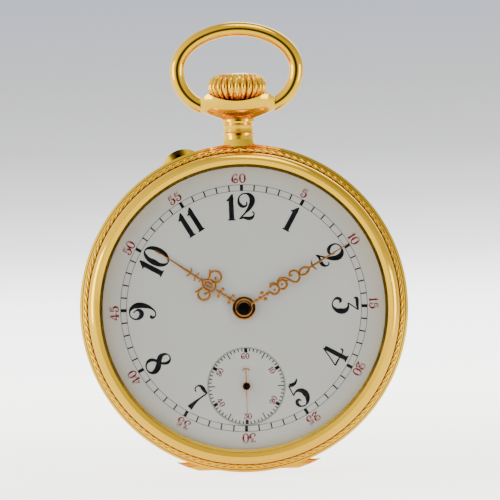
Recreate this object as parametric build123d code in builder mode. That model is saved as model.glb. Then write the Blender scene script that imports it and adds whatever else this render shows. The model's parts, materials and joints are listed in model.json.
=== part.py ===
from build123d import *
from math import acos, atan2, ceil, cos, degrees, hypot, pi, radians, sin
import os

# Open-face pocket watch with small seconds, pin-set, with a hinged back and a hinged inner cover.
# Millimetres. The watch stands upright: +X to 3 o'clock, +Z to the pendant, the dial looks to -Y.
# The origin is the centre of the back cover's flat outer face, and a "height" is the distance
# from that face towards the glass, so a point at height h has y = -h.

os.makedirs("parts", exist_ok=True)

# ---- Driving dimensions: case ----
case_r = 24.0  # outside of the case band
band_round = 1.6  # height of the sloping front shoulder of the band
bezel_setback = 1.3  # how far the bezel stands inside the band
case_bore_setback = 3.1  # band outside to the bore that takes the dial
ledge_w = 0.6  # inner ledge that the movement rests on
ledge_t = 0.8
seat_h = 2.7  # height where both covers close on the case middle
case_gap = 0.05  # gap round pieces that drop into the case

# ---- Driving dimensions: covers and their hinges ----
back_flat_r = 17.0
back_wall = 0.5
back_dome = 2.0  # rise of the back cover from its flat to its rim
back_rim_w = 0.7
cuvette_flat_r = 17.5
cuvette_wall = 0.4
cuvette_low = 1.2
cuvette_setback = 2.5  # band outside to the inner cover's rim
hinge_r = 0.68
hinge_half = 10.65  # half length of the whole tube
hinge_tip_r = 24.9  # the tube's ends are filed round the case to this radius
knuckle_half = 4.35  # half length of the back cover's own knuckle
hinge_in = 0.85  # band outside to the tube's centre line
hinge_drop = 0.3  # tube's centre line below the seat
hinge_pin_r = 0.35
small_hinge_r = 0.45
small_hinge_half = 5.5
small_knuckle_half = 2.55
small_hinge_in = 2.55
small_hinge_drop = 0.25
small_pin_r = 0.2
run_gap = 0.04  # radial clearance of a running fit
end_gap = 0.05  # clearance beside a knuckle

# ---- Driving dimensions: height stack of the movement ----
bridge_t = 0.8
train_space = 1.55  # between bridges and main plate
plate_t = 1.5
motion_space = 0.8  # between main plate and dial
dial_t = 0.8
seconds_sink = 0.25
front_space = 0.7  # dial face to the case's front edge
bridge_low = seat_h + case_gap
bridge_high = bridge_low + bridge_t
plate_low = bridge_high + train_space
plate_high = plate_low + plate_t
dial_low = plate_high + motion_space
dial_high = dial_low + dial_t
case_front = dial_high + front_space
seconds_high = dial_high - seconds_sink

# ---- Driving dimensions: pendant, crown, bow ----
stem_h = 5.3  # height of the stem's axis
stem_r = 0.6
stem_bore = 0.66
stem_inner_z = 12.4
pendant_rise = 3.8  # case edge to the pendant's head
head_half = 5.37
head_depth = 4.3  # half the head's depth, front to back, at its rim
head_flank = 6.2  # half the width of the oval that rounds the head's front and back
head_rim_dip = 1.2  # ears' tops to the lowest point of the rim
ear_half = 4.3  # middle to where the ears are highest
ear_slant = 0.7  # drop from there to the ear's outer face
head_side_h = 1.8  # height of the ear's outer face
ear_rise = 7.4  # case edge to the ears' tops
crown_r = 4.38
crown_low_rise = 6.3
crown_height = 4.2
crown_flutes = 26
flute_r = 0.44
flute_in = 0.36  # depth of a flute
under_slope = 52  # lean of the flutes under the crown, in degrees from the stem
crown_gap = 0.12
bow_pivot_rise = 6.05
bow_half = 8.75
bow_wire_r = 1.05
bow_mid_rise = 10.9  # widest point above the case edge
bow_top_rise = 6.0  # widest point to the top, on the wire's centre line
bow_pin_r = 0.6
bow_pin_depth = 0.95
bow_end_x = 0.57  # where the wire's curve ends, outside the ear
bow_ear_gap = 0.05

# ---- Driving dimensions: bezel and glass ----
bezel_inner_wall = 0.28
bezel_height = 1.75
glass_t = 0.75
glass_seat = 1.0
glass_edge_t = 0.45
glass_rise = 0.55
glass_flat_in = 2.4

# ---- Driving dimensions: time-setting pin ----
set_angle = 21.8  # degrees from the pendant towards 9 o'clock
set_h = 5.85
set_pin_r = 0.52
set_travel = 0.8
set_proud = 1.05
guard_length = 5.0
guard_width = 2.1
guard_proud = 1.05

# ---- Driving dimensions: train. Teeth counts and modules set every centre distance ----
barrel_teeth, center_pinion_teeth, barrel_module = 84, 12, 0.21
center_teeth, third_pinion_teeth, center_module = 64, 8, 0.18
third_teeth, fourth_pinion_teeth, third_module = 60, 8, 0.17
fourth_teeth, escape_pinion_teeth, fourth_module = 70, 7, 0.12
cannon_teeth, minute_wheel_teeth, cannon_module = 12, 36, 0.15
minute_pinion_teeth, hour_teeth = 10, 40
crown_wheel_teeth, ratchet_teeth = 24, 36
escape_teeth = 15
escape_r = 2.6
seconds_z = -11.4
barrel_angle = 40.0
balance_x = -11.2
balance_z = -5.2
balance_r = 7.0
crown_wheel_z = 12.0
minute_wheel_angle = 0.0
wheel_t = 0.2
wheel_gap = 0.1
arbor_r = 0.25
pivot_r = 0.12
center_arbor_r = 0.55
cannon_r = 0.72
hour_pipe_r = 1.05
jewel_r = 0.6
jewel_t = 0.35
foot_r = 1.5
screw_r = 0.42
screw_head_r = 0.85
screw_gap = 0.03

# ---- Driving dimensions: hands ----
hour_length = 15.5
minute_length = 18.2
seconds_length = 4.26
seconds_tail = 2.6
hour_angle = 305.0  # degrees clockwise from 12
minute_angle = 60.0
seconds_angle = 180.0
hand_t = 0.16
hour_hand_h = dial_high + 0.4
minute_hand_h = hour_hand_h + 0.4
seconds_hand_h = dial_high + 0.08

# ---- Worked out from the above ----
bore_r = case_r - case_bore_setback
ledge_r = bore_r - ledge_w
plate_r = bore_r - case_gap
dial_r = bore_r - 2 * case_gap
bridge_r = ledge_r - 0.3
rim_ring = bridge_r - foot_r - 0.25
bezel_r = case_r - bezel_setback
back_r = case_r - 0.2
cuvette_r = case_r - cuvette_setback
hinge_z = -(case_r - hinge_in)
hinge_h = seat_h - hinge_drop
small_hinge_z = -(case_r - small_hinge_in)
small_hinge_h = seat_h - small_hinge_drop
barrel_distance = barrel_module * (barrel_teeth + center_pinion_teeth) / 2
barrel_x = barrel_distance * cos(radians(barrel_angle))
barrel_z = barrel_distance * sin(radians(barrel_angle))
barrel_r = barrel_module * barrel_teeth / 2 - 0.5
barrel_reach = barrel_module * (barrel_teeth / 2 + 1)
center_third = center_module * (center_teeth + third_pinion_teeth) / 2
third_fourth = third_module * (third_teeth + fourth_pinion_teeth) / 2
third_z = (seconds_z**2 + center_third**2 - third_fourth**2) / (2 * seconds_z)
third_x = (center_third**2 - third_z**2) ** 0.5
fourth_escape = fourth_module * (fourth_teeth + escape_pinion_teeth) / 2
escape_angle = 151.0  # direction of the escape wheel from the fourth wheel
escape_x = fourth_escape * cos(radians(escape_angle))
escape_z = seconds_z + fourth_escape * sin(radians(escape_angle))
lever_angle = degrees(atan2(balance_z - escape_z, balance_x - escape_x))
pallet_distance = escape_r / cos(radians(30)) + 0.1
pallet_x = escape_x + pallet_distance * cos(radians(lever_angle))
pallet_z = escape_z + pallet_distance * sin(radians(lever_angle))
lever_length = hypot(balance_x - pallet_x, balance_z - pallet_z)
motion_distance = cannon_module * (cannon_teeth + minute_wheel_teeth) / 2
hour_module = 2 * motion_distance / (minute_pinion_teeth + hour_teeth)
minute_wheel_x = motion_distance * cos(radians(minute_wheel_angle))
minute_wheel_z = motion_distance * sin(radians(minute_wheel_angle))
winding_distance = hypot(barrel_x, barrel_z - crown_wheel_z)
winding_module = 2 * winding_distance / (crown_wheel_teeth + ratchet_teeth)
center_wheel_h = bridge_high + wheel_gap
barrel_low = center_wheel_h + wheel_t + wheel_gap
barrel_high = plate_low + 0.45
barrel_teeth_h = plate_low - 0.5
third_wheel_h = plate_low - 1.0
balance_h = plate_low - 1.15
balance_rim_t = 0.4
pallet_bridge_h = plate_low - 0.6
pallet_bridge_t = 0.3
escape_h = plate_low - 0.15
pocket_h = plate_low + 0.3
barrel_recess_h = barrel_high + wheel_gap
winding_low = bridge_low - 0.45  # ratchet and crown wheel lie outside the barrel bridge
winding_t = 0.4
face_teeth_h = bridge_low + 0.55
winding_pinion_r = stem_h - face_teeth_h - 0.05
winding_pinion_z = crown_wheel_z + 2.9
winding_pinion_t = 0.8

STANDING = (Align.CENTER, Align.CENTER, Align.MIN)
HANGING = (Align.CENTER, Align.CENTER, Align.MAX)


# ---- Shared building steps ----
def face_on(height, x=0.0, z=0.0):
    """Plane parallel to the dial at a height, centred on the axis at (x, z), looking out of the dial."""
    return Plane(origin=(x, -height, z), x_dir=(1, 0, 0), z_dir=(0, -1, 0))


def half_section(x=0.0, z=0.0):
    """Plane of a turned profile: local x is the radius from the axis at (x, z), local y the height."""
    return Plane(origin=(x, 0, z), x_dir=(1, 0, 0), z_dir=(0, 0, -1))


def side_section(x):
    """Plane of a profile that runs along X: local x is the row's Z, local y the height."""
    return Plane(origin=(x, 0, 0), x_dir=(0, 0, 1), z_dir=(1, 0, 0))


def post(radius, low, high, x=0.0, z=0.0, mode=Mode.ADD):
    """Round solid on the axis at (x, z), between two heights."""
    with Locations(face_on(low, x, z)):
        Cylinder(radius, high - low, align=STANDING, mode=mode)


def turn(points, x=0.0, z=0.0, mode=Mode.ADD):
    """Turned solid on the axis at (x, z), from a closed outline of (radius, height) points."""
    with BuildSketch(half_section(x, z)) as profile:
        with BuildLine():
            Polyline(*points, close=True)
        make_face()
    revolve(profile.sketch, axis=Axis((x, 0, z), (0, -1, 0)), mode=mode)


def turn_on_stem(points, mode=Mode.ADD):
    """Turned solid on the stem's axis, from a closed outline of (radius, z) points."""
    with BuildSketch(Plane.XZ.offset(stem_h)) as profile:
        with BuildLine():
            Polyline(*points, close=True)
        make_face()
    revolve(profile.sketch, axis=Axis((0, -stem_h, 0), (0, 0, 1)), mode=mode)


def bar_along_x(radius, start, end, z, height, mode=Mode.ADD):
    """Round bar parallel to X at (z, height)."""
    with Locations(Plane(origin=(start, -height, z), x_dir=(0, 1, 0), z_dir=(1, 0, 0))):
        Cylinder(radius, end - start, align=STANDING, mode=mode)


def bar_on_stem(radius, start, end, mode=Mode.ADD):
    """Round bar on the stem's axis, from z start to z end."""
    with Locations((0, -stem_h, start)):
        Cylinder(radius, end - start, align=STANDING, mode=mode)


def block(x0, x1, z0, z1, low, high, mode=Mode.ADD):
    """Rectangular block between two heights."""
    with Locations(((x0 + x1) / 2, -(low + high) / 2, (z0 + z1) / 2)):
        Box(x1 - x0, high - low, z1 - z0, mode=mode)


def slab(sketch, thickness, mode=Mode.ADD):
    """Flat piece of a sketch's shape."""
    extrude(sketch, amount=thickness, mode=mode)


def tooth_points(teeth, module, first, leaf):
    """Outline of a toothed wheel; a pinion's leaves are thinner and blunter than a wheel's teeth."""
    pitch_r = module * teeth / 2
    tip = module * (0.7 if leaf else 1.0)
    root = module * (1.45 if leaf else 1.25)
    step = 2 * pi / teeth
    at_pitch = step * (0.17 if leaf else 0.205)
    at_tip = step * (0.09 if leaf else 0.06)
    outline = []
    for number in range(teeth):
        middle = radians(first) + number * step
        for radius, side in (
            (pitch_r - root, -at_pitch),
            (pitch_r, -at_pitch),
            (pitch_r + tip, -at_tip),
            (pitch_r + tip, at_tip),
            (pitch_r, at_pitch),
            (pitch_r - root, at_pitch),
        ):
            outline.append((radius * cos(middle + side), radius * sin(middle + side)))
    return outline


def toothed(teeth, module, low, high, x=0.0, z=0.0, first=0.0, leaf=False):
    """Toothed disc on the axis at (x, z); first is its first tooth's direction, from +X towards +Z."""
    with BuildSketch(face_on(low, x, z)) as profile:
        with BuildLine():
            Polyline(*tooth_points(teeth, module, first, leaf), close=True)
        make_face()
    extrude(profile.sketch, amount=high - low)


def tooth_facing(x0, z0, x1, z1):
    """Direction from one axis to another, in degrees, for a tooth that points at its partner."""
    return degrees(atan2(z1 - z0, x1 - x0))


def gap_facing(teeth, x0, z0, x1, z1):
    """First-tooth direction that turns a gap between two teeth towards the partner's axis."""
    return tooth_facing(x0, z0, x1, z1) + 180.0 / teeth


def spokes(low, high, inner, outer, count, x=0.0, z=0.0, share=0.72, first=0.0):
    """Windows that leave a wheel's arms standing."""
    sweep_angle = share * 360.0 / count
    with BuildSketch(face_on(low, x, z)) as windows:
        for number in range(count):
            start = first + number * 360.0 / count
            with BuildLine():
                outer_arc = CenterArc((0, 0), outer, start, sweep_angle)
                inner_arc = CenterArc((0, 0), inner, start + 6, sweep_angle - 12)
                Line(outer_arc @ 0, inner_arc @ 0)
                Line(outer_arc @ 1, inner_arc @ 1)
            make_face()
    extrude(windows.sketch, amount=high - low, mode=Mode.SUBTRACT)


def spiral_strip(low, high, inner, outer, turns, strip, x=0.0, z=0.0):
    """Flat coiled strip, such as a spring, between two radii."""
    steps = ceil(turns * 10)
    sides = []
    for side in (0.5, -0.5):
        points = []
        for step in range(steps + 1):
            angle = 2 * pi * turns * step / steps
            radius = inner + (outer - inner) * step / steps + side * strip
            points.append((radius * cos(angle), radius * sin(angle)))
        sides.append(points)
    with BuildSketch(face_on(low, x, z)) as coil:
        with BuildLine():
            far = Spline(*sides[0])
            near = Spline(*sides[1])
            Line(far @ 0, near @ 0)
            Line(far @ 1, near @ 1)
        make_face()
    extrude(coil.sketch, amount=high - low)


def tapered_bar(start, start_r, end, end_r):
    """Two round ends joined by straight sides, added to the sketch being drawn."""
    length = hypot(end[0] - start[0], end[1] - start[1])
    direction = atan2(end[1] - start[1], end[0] - start[0])
    lean = acos((start_r - end_r) / length)
    corners = []
    for (x, z), radius, sides in ((start, start_r, (1, -1)), (end, end_r, (-1, 1))):
        for side in sides:
            angle = direction + side * lean
            corners.append((x + radius * cos(angle), z + radius * sin(angle)))
    Polygon(*corners, align=None)
    with Locations(start):
        Circle(start_r)
    with Locations(end):
        Circle(end_r)


def clock_point(angle, radius):
    """Point on the dial at a clock angle, in degrees clockwise from 12."""
    return (radius * sin(radians(angle)), radius * cos(radians(angle)))


def polar_point(angle, radius):
    """Point at an angle from +X towards +Z."""
    return (radius * cos(radians(angle)), radius * sin(radians(angle)))


def finish(piece, name):
    """Label a finished piece and write its STEP file."""
    piece.label = name
    export_step(piece, f"parts/{name}.step")


# Places that several pieces share.
barrel_bridge_feet = [polar_point(angle, rim_ring) for angle in (165.2, 123.0, 71.5, -4.0)]
train_bridge_feet = [polar_point(angle, rim_ring) for angle in (-36.0, -72.4, -104.0)]
train_bridge_feet.append((9.8, -6.5))
cock_foot = polar_point(-121.5, rim_ring)
bridge_feet = barrel_bridge_feet + train_bridge_feet + [cock_foot]
case_screw_places = [polar_point(angle, ledge_r - 0.8) for angle in (145.0, -55.0)]
dial_feet_places = [polar_point(angle, dial_r - 2.2) for angle in (60.0, 185.0, -58.0)]
dial_foot_r = 0.45
pallet_feet = [
    (pallet_x + 4.0 * side * sin(radians(lever_angle)), pallet_z - 4.0 * side * cos(radians(lever_angle)))
    for side in (-1, 1)
]
pallet_foot_r = 0.9
plate_jewels = [(third_x, third_z), (escape_x, escape_z), (pallet_x, pallet_z), (balance_x, balance_z)]
bridge_jewels = [(0.0, 0.0), (third_x, third_z), (0.0, seconds_z), (escape_x, escape_z)]
case_outline = [
    (bore_r, seat_h),
    (case_r - 0.25, seat_h),
    (case_r, seat_h + 0.9),
    (case_r, case_front - band_round),
    (case_r - 0.35, case_front - 0.75 * band_round),
    (case_r - 0.8, case_front - 0.4 * band_round),
    (bezel_r + 0.05, case_front),
    (bore_r, case_front),
]
set_plane = Plane(
    origin=(0, -set_h, 0),
    x_dir=(cos(radians(set_angle)), 0, sin(radians(set_angle))),
    z_dir=(-sin(radians(set_angle)), 0, cos(radians(set_angle))),
)
crown_low = case_r + crown_low_rise
crown_high = crown_low + crown_height
head_low = case_r + pendant_rise
ear_top = case_r + ear_rise
bow_pivot_z = case_r + bow_pivot_rise

# ---- Case middle: the band, its inner ledge and the fixed hinge knuckles ----
def file_hinge_tips():
    """File the ends of the back's hinge tube round the case."""
    turn(
        [
            (hinge_tip_r, hinge_h - 1),
            (hinge_tip_r + 2, hinge_h - 1),
            (hinge_tip_r + 2, hinge_h + 1),
            (hinge_tip_r, hinge_h + 1),
        ],
        mode=Mode.SUBTRACT,
    )


with BuildPart() as case_middle:
    turn(case_outline)
    turn([
        (ledge_r, plate_low - ledge_t),
        (bore_r, plate_low - ledge_t),
        (bore_r, plate_low),
        (ledge_r, plate_low),
    ])
    for side in (-1, 1):
        inner, outer = sorted((side * knuckle_half, side * hinge_half))
        bar_along_x(hinge_r, inner, outer, hinge_z, hinge_h)
        inner, outer = sorted((side * small_knuckle_half, side * small_hinge_half))
        bar_along_x(small_hinge_r, inner, outer, small_hinge_z, small_hinge_h)
    file_hinge_tips()
    bar_along_x(hinge_r + 0.07, -knuckle_half, knuckle_half, hinge_z, hinge_h, Mode.SUBTRACT)
    bar_along_x(
        small_hinge_r + 0.05, -small_knuckle_half, small_knuckle_half, small_hinge_z, small_hinge_h,
        Mode.SUBTRACT,
    )
    bar_along_x(hinge_pin_r, -hinge_half, hinge_half, hinge_z, hinge_h, Mode.SUBTRACT)
    bar_along_x(small_pin_r, -small_hinge_half, small_hinge_half, small_hinge_z, small_hinge_h, Mode.SUBTRACT)
    bar_on_stem(stem_bore, ledge_r - 1, case_r + 1, Mode.SUBTRACT)
    with Locations(set_plane.offset(ledge_r - 1)):
        Cylinder(set_pin_r + run_gap, case_r - ledge_r + 2, align=STANDING, mode=Mode.SUBTRACT)
finish(case_middle.part, "case_middle")

# ---- Hinge pins ----
with BuildPart() as back_hinge_pin:
    bar_along_x(hinge_pin_r, -hinge_half, hinge_half, hinge_z, hinge_h)
    file_hinge_tips()
finish(back_hinge_pin.part, "back_hinge_pin")

with BuildPart() as cuvette_hinge_pin:
    bar_along_x(small_pin_r, -small_hinge_half, small_hinge_half, small_hinge_z, small_hinge_h)
finish(cuvette_hinge_pin.part, "cuvette_hinge_pin")


# ---- Back cover: shallow dish with a flat middle, cut away round the hinge tube ----
with BuildPart() as back_cover:
    with BuildSketch(half_section()) as dish:
        with BuildLine():
            Line((0, 0), (back_flat_r, 0))
            TangentArc((back_flat_r, 0), (back_r, back_dome), tangent=(1, 0))
            Line((back_r, back_dome), (back_r, seat_h - end_gap))
            Line((back_r, seat_h - end_gap), (back_r - back_rim_w, seat_h - end_gap))
            Line((back_r - back_rim_w, seat_h - end_gap), (back_r - back_rim_w, back_dome + 0.2))
            TangentArc((back_flat_r, back_wall), (back_r - back_rim_w, back_dome + 0.2), tangent=(1, 0))
            Line((back_flat_r, back_wall), (0, back_wall))
            Line((0, back_wall), (0, 0))
        make_face()
    revolve(dish.sketch, axis=Axis((0, 0, 0), (0, -1, 0)))
    trim_z = hinge_z + hinge_r + 0.12
    block(-hinge_half - 0.15, hinge_half + 0.15, -case_r - 1, trim_z, -1, seat_h + 1, Mode.SUBTRACT)
    knuckle_end = knuckle_half - end_gap
    bar_along_x(hinge_r, -knuckle_end, knuckle_end, hinge_z, hinge_h)
    with BuildSketch(side_section(-knuckle_end)) as web:
        with BuildLine():
            Polyline(
                (hinge_z, hinge_h - 0.6),
                (hinge_z + 1.05, hinge_h - 1.2),
                (hinge_z + 1.4, hinge_h - 0.8),
                (hinge_z + 0.6, hinge_h),
                close=True,
            )
        make_face()
    extrude(web.sketch, amount=2 * knuckle_end)
    bar_along_x(hinge_pin_r + run_gap, -knuckle_half, knuckle_half, hinge_z, hinge_h, Mode.SUBTRACT)
finish(back_cover.part, "back_cover")

# ---- Cuvette: the inner dust cover, on its own small hinge ----
with BuildPart() as cuvette:
    cuvette_rim_h = cuvette_low + 0.9
    with BuildSketch(half_section()) as dish:
        with BuildLine():
            Line((0, cuvette_low), (cuvette_flat_r, cuvette_low))
            TangentArc((cuvette_flat_r, cuvette_low), (cuvette_r, cuvette_rim_h), tangent=(1, 0))
            Line((cuvette_r, cuvette_rim_h), (cuvette_r, seat_h - end_gap))
            Line((cuvette_r, seat_h - end_gap), (cuvette_r - cuvette_wall, seat_h - end_gap))
            Line((cuvette_r - cuvette_wall, seat_h - end_gap), (cuvette_r - cuvette_wall, cuvette_rim_h + 0.2))
            TangentArc(
                (cuvette_flat_r, cuvette_low + cuvette_wall),
                (cuvette_r - cuvette_wall, cuvette_rim_h + 0.2),
                tangent=(1, 0),
            )
            Line((cuvette_flat_r, cuvette_low + cuvette_wall), (0, cuvette_low + cuvette_wall))
            Line((0, cuvette_low + cuvette_wall), (0, cuvette_low))
        make_face()
    revolve(dish.sketch, axis=Axis((0, 0, 0), (0, -1, 0)))
    trim_z = small_hinge_z + small_hinge_r + 0.05
    block(-small_hinge_half - 0.1, small_hinge_half + 0.1, -case_r, trim_z, -1, seat_h + 1, Mode.SUBTRACT)
    knuckle_end = small_knuckle_half - end_gap
    bar_along_x(small_hinge_r, -knuckle_end, knuckle_end, small_hinge_z, small_hinge_h)
    with BuildSketch(side_section(-knuckle_end)) as web:
        with BuildLine():
            Polyline(
                (small_hinge_z, small_hinge_h - 0.42),
                (small_hinge_z + 0.55, small_hinge_h - 0.65),
                (small_hinge_z + 0.95, small_hinge_h - 0.3),
                (small_hinge_z + 0.4, small_hinge_h),
                close=True,
            )
        make_face()
    extrude(web.sketch, amount=2 * knuckle_end)
    bar_along_x(
        small_pin_r + run_gap, -small_knuckle_half, small_knuckle_half, small_hinge_z, small_hinge_h,
        Mode.SUBTRACT,
    )
finish(cuvette.part, "cuvette")

# ---- Head of the pendant: a deep oval bowl with a dipping rim and a flat-faced ear each side ----
with BuildPart() as head:
    with BuildSketch(Plane((0, -stem_h, head_low - 0.1))) as bowl_foot:
        Ellipse(head_flank * 0.62, 2.2)
    with BuildSketch(Plane((0, -stem_h, head_low + 0.8))) as bowl_flare:
        Ellipse(head_flank * 0.84, head_depth * 0.76)
    with BuildSketch(Plane((0, -stem_h, head_low + 1.9))) as bowl_side:
        Ellipse(head_flank * 0.96, head_depth * 0.95)
    with BuildSketch(Plane((0, -stem_h, ear_top))) as bowl_rim:
        Ellipse(head_flank, head_depth)
    loft([bowl_foot.sketch, bowl_flare.sketch, bowl_side.sketch, bowl_rim.sketch])
    ear_face_top = ear_top - ear_slant
    ear_face_low = ear_face_top - head_side_h
    with BuildSketch(Plane.XZ.offset(stem_h - head_depth - 1)) as outline:
        with BuildLine():
            Line((2.2, head_low - 0.1), (head_half - 0.2, ear_face_low - 0.1))
            Line((head_half - 0.2, ear_face_low - 0.1), (head_half, ear_face_low + 0.1))
            Line((head_half, ear_face_low + 0.1), (head_half, ear_face_top))
            Line((head_half, ear_face_top), (ear_half, ear_top))
            ThreePointArc((ear_half, ear_top), (0, ear_top - head_rim_dip), (-ear_half, ear_top))
            Line((-ear_half, ear_top), (-head_half, ear_face_top))
            Line((-head_half, ear_face_top), (-head_half, ear_face_low + 0.1))
            Line((-head_half, ear_face_low + 0.1), (0.2 - head_half, ear_face_low - 0.1))
            Line((0.2 - head_half, ear_face_low - 0.1), (-2.2, head_low - 0.1))
            Line((-2.2, head_low - 0.1), (2.2, head_low - 0.1))
        make_face()
    extrude(outline.sketch, amount=2 * head_depth + 2, mode=Mode.INTERSECT)

# ---- Pendant: turned neck on the band, and the boat-shaped head that takes the bow and the crown ----
with BuildPart() as pendant:
    turn_on_stem([
        (0, case_r - 1.6),
        (3.0, case_r - 1.6),
        (2.75, case_r - 0.7),
        (2.45, case_r + 0.1),
        (2.22, case_r + 0.7),
        (2.12, case_r + 1.3),
        (2.44, case_r + 1.36),
        (2.44, case_r + 1.56),
        (2.08, case_r + 1.64),
        (2.2, case_r + 1.85),
        (2.12, case_r + 2.25),
        (2.2, case_r + 2.7),
        (2.08, case_r + 2.95),
        (2.33, case_r + 3.05),
        (2.45, case_r + 3.3),
        (2.43, case_r + 3.6),
        (2.25, head_low),
        (2.25, head_low + 0.3),
        (0, head_low + 0.3),
    ])
    add(head.part)
    turn_on_stem([
        (0, crown_low - crown_gap),
        (2.7 + crown_gap, crown_low - crown_gap),
        (4.05 + crown_gap, crown_low + 0.85),
        (crown_r + crown_gap, crown_low + 1.4),
        (crown_r + crown_gap, crown_high),
        (0, crown_high),
    ], Mode.SUBTRACT)
    bar_on_stem(stem_bore, case_r - 3, crown_low, Mode.SUBTRACT)
    bar_on_stem(1.75 + run_gap, crown_low - 2.3, crown_low, Mode.SUBTRACT)
    for side in (-1, 1):
        inner, outer = sorted((side * (head_half - bow_pin_depth - 0.1), side * (head_half + 1)))
        bar_along_x(bow_pin_r + run_gap, inner, outer, bow_pivot_z, stem_h, Mode.SUBTRACT)
    turn([(0, 0), (case_r, 0)] + case_outline[2:7] + [(0, case_front)], mode=Mode.SUBTRACT)
finish(pendant.part, "pendant")

# ---- Bow: round wire bent to an oval, with a pin at each end in the pendant's ears ----
with BuildPart() as bow:
    bow_mid_z = case_r + bow_mid_rise
    wire_end_x = head_half + bow_end_x
    side_inset = bow_half - wire_end_x
    side_drop = bow_mid_z - bow_pivot_z
    side_r = (side_inset**2 + side_drop**2) / (2 * side_inset)
    side_sweep = degrees(2 * atan2(side_inset, side_drop))
    with BuildLine(Plane.XZ.offset(stem_h)) as half_line:
        EllipticalCenterArc((0, bow_mid_z), bow_half, bow_top_rise, 90, arc_size=-90)
        side_arc = CenterArc((bow_half - side_r, bow_mid_z), side_r, 0, -side_sweep)
        PolarLine(side_arc @ 1, 2 * bow_end_x, direction=side_arc % 1)
    wire_start = Plane(origin=(0, -stem_h, bow_mid_z + bow_top_rise), x_dir=(0, 1, 0), z_dir=(1, 0, 0))
    with BuildSketch(wire_start) as wire_section:
        Circle(bow_wire_r)
    sweep(wire_section.sketch, path=half_line.line)
    with Locations((0, -stem_h, bow_pivot_z)):
        Box(2 * (head_half + bow_ear_gap), 4 * bow_wire_r, 6 * bow_wire_r, mode=Mode.SUBTRACT)
    mirror(about=Plane.YZ)
    for side in (-1, 1):
        inner, outer = sorted((side * (head_half - bow_pin_depth), side * (wire_end_x + 0.4)))
        bar_along_x(bow_pin_r, inner, outer, bow_pivot_z, stem_h)
finish(bow.part, "bow")

# ---- Crown: fluted knob with its neck, and the stem that it turns ----
with BuildPart() as crown:
    turn_on_stem([
        (0, crown_low - 2.2),
        (1.75, crown_low - 2.2),
        (1.75, crown_low),
        (2.7, crown_low),
        (3.4, crown_low + 0.38),
        (4.0, crown_low + 0.9),
        (crown_r - 0.07, crown_low + 1.45),
        (crown_r, crown_low + 2.05),
        (crown_r - 0.08, crown_low + 2.7),
        (4.05, crown_low + 3.3),
        (3.6, crown_low + 3.72),
        (2.8, crown_high - 0.15),
        (1.8, crown_high),
        (0, crown_high),
    ])
    cut_r = crown_r - flute_in + flute_r
    with Locations((0, -stem_h, crown_low + 1.3)):
        with PolarLocations(cut_r, crown_flutes):
            Cylinder(flute_r, crown_height, align=STANDING, mode=Mode.SUBTRACT)
            Cylinder(flute_r, 3, rotation=(0, -under_slope, 0), align=HANGING, mode=Mode.SUBTRACT)
    bar_on_stem(stem_r, crown_low - 2.3, crown_low + 1.5, Mode.SUBTRACT)
finish(crown.part, "crown")

with BuildPart() as winding_stem:
    bar_on_stem(stem_r, stem_inner_z, crown_low + 1.5)
finish(winding_stem.part, "winding_stem")


def pinion_on_stem(teeth, tip_r, depth, start, end):
    """Toothed barrel on the winding stem."""
    with BuildSketch(Plane((0, -stem_h, start))) as profile:
        Circle(tip_r - depth)
        with PolarLocations(tip_r - depth / 2, teeth):
            Rectangle(depth + 0.2, tip_r * pi / teeth * 0.8)
        Circle(stem_r, mode=Mode.SUBTRACT)
    extrude(profile.sketch, amount=end - start)


with BuildPart() as winding_pinion:
    pinion_on_stem(12, winding_pinion_r, 0.35, winding_pinion_z, winding_pinion_z + winding_pinion_t)
finish(winding_pinion.part, "winding_pinion")

with BuildPart() as sliding_pinion:
    pinion_on_stem(16, 1.2, 0.25, stem_inner_z + 0.7, winding_pinion_z - 0.1)
finish(sliding_pinion.part, "sliding_pinion")

# ---- Time-setting pin and the guard that keeps it from being pressed by accident ----
with BuildPart() as set_pin_guard:
    with BuildSketch(set_plane.offset(case_r - 1.5)) as oval:
        Ellipse(guard_length / 2, guard_width / 2)
    extrude(oval.sketch, amount=1.5 + guard_proud)
    guard_r = ((guard_length / 2)**2 + guard_proud**2) / (2 * guard_proud)
    crest = set_plane.offset(case_r + guard_proud - guard_r)
    with Locations(Plane(origin=crest.origin, x_dir=crest.z_dir, z_dir=(0, -1, 0))):
        Cylinder(guard_r, 2 * guard_width, mode=Mode.INTERSECT)
    with Locations(set_plane.offset(case_r - 2)):
        Cylinder(set_pin_r + run_gap, 4, align=STANDING, mode=Mode.SUBTRACT)
    turn([(0, 0), (case_r, 0)] + case_outline[2:7] + [(0, case_front)], mode=Mode.SUBTRACT)
finish(set_pin_guard.part, "set_pin_guard")

with BuildPart() as set_pusher:
    pusher_start = plate_r + set_travel + 0.1
    with Locations(set_plane.offset(pusher_start)):
        Cylinder(set_pin_r, case_r + set_proud - pusher_start, align=STANDING)
    fillet(set_pusher.edges().sort_by(lambda edge: edge.center().dot(set_plane.z_dir))[-1], 0.25)
finish(set_pusher.part, "set_pusher")

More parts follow.
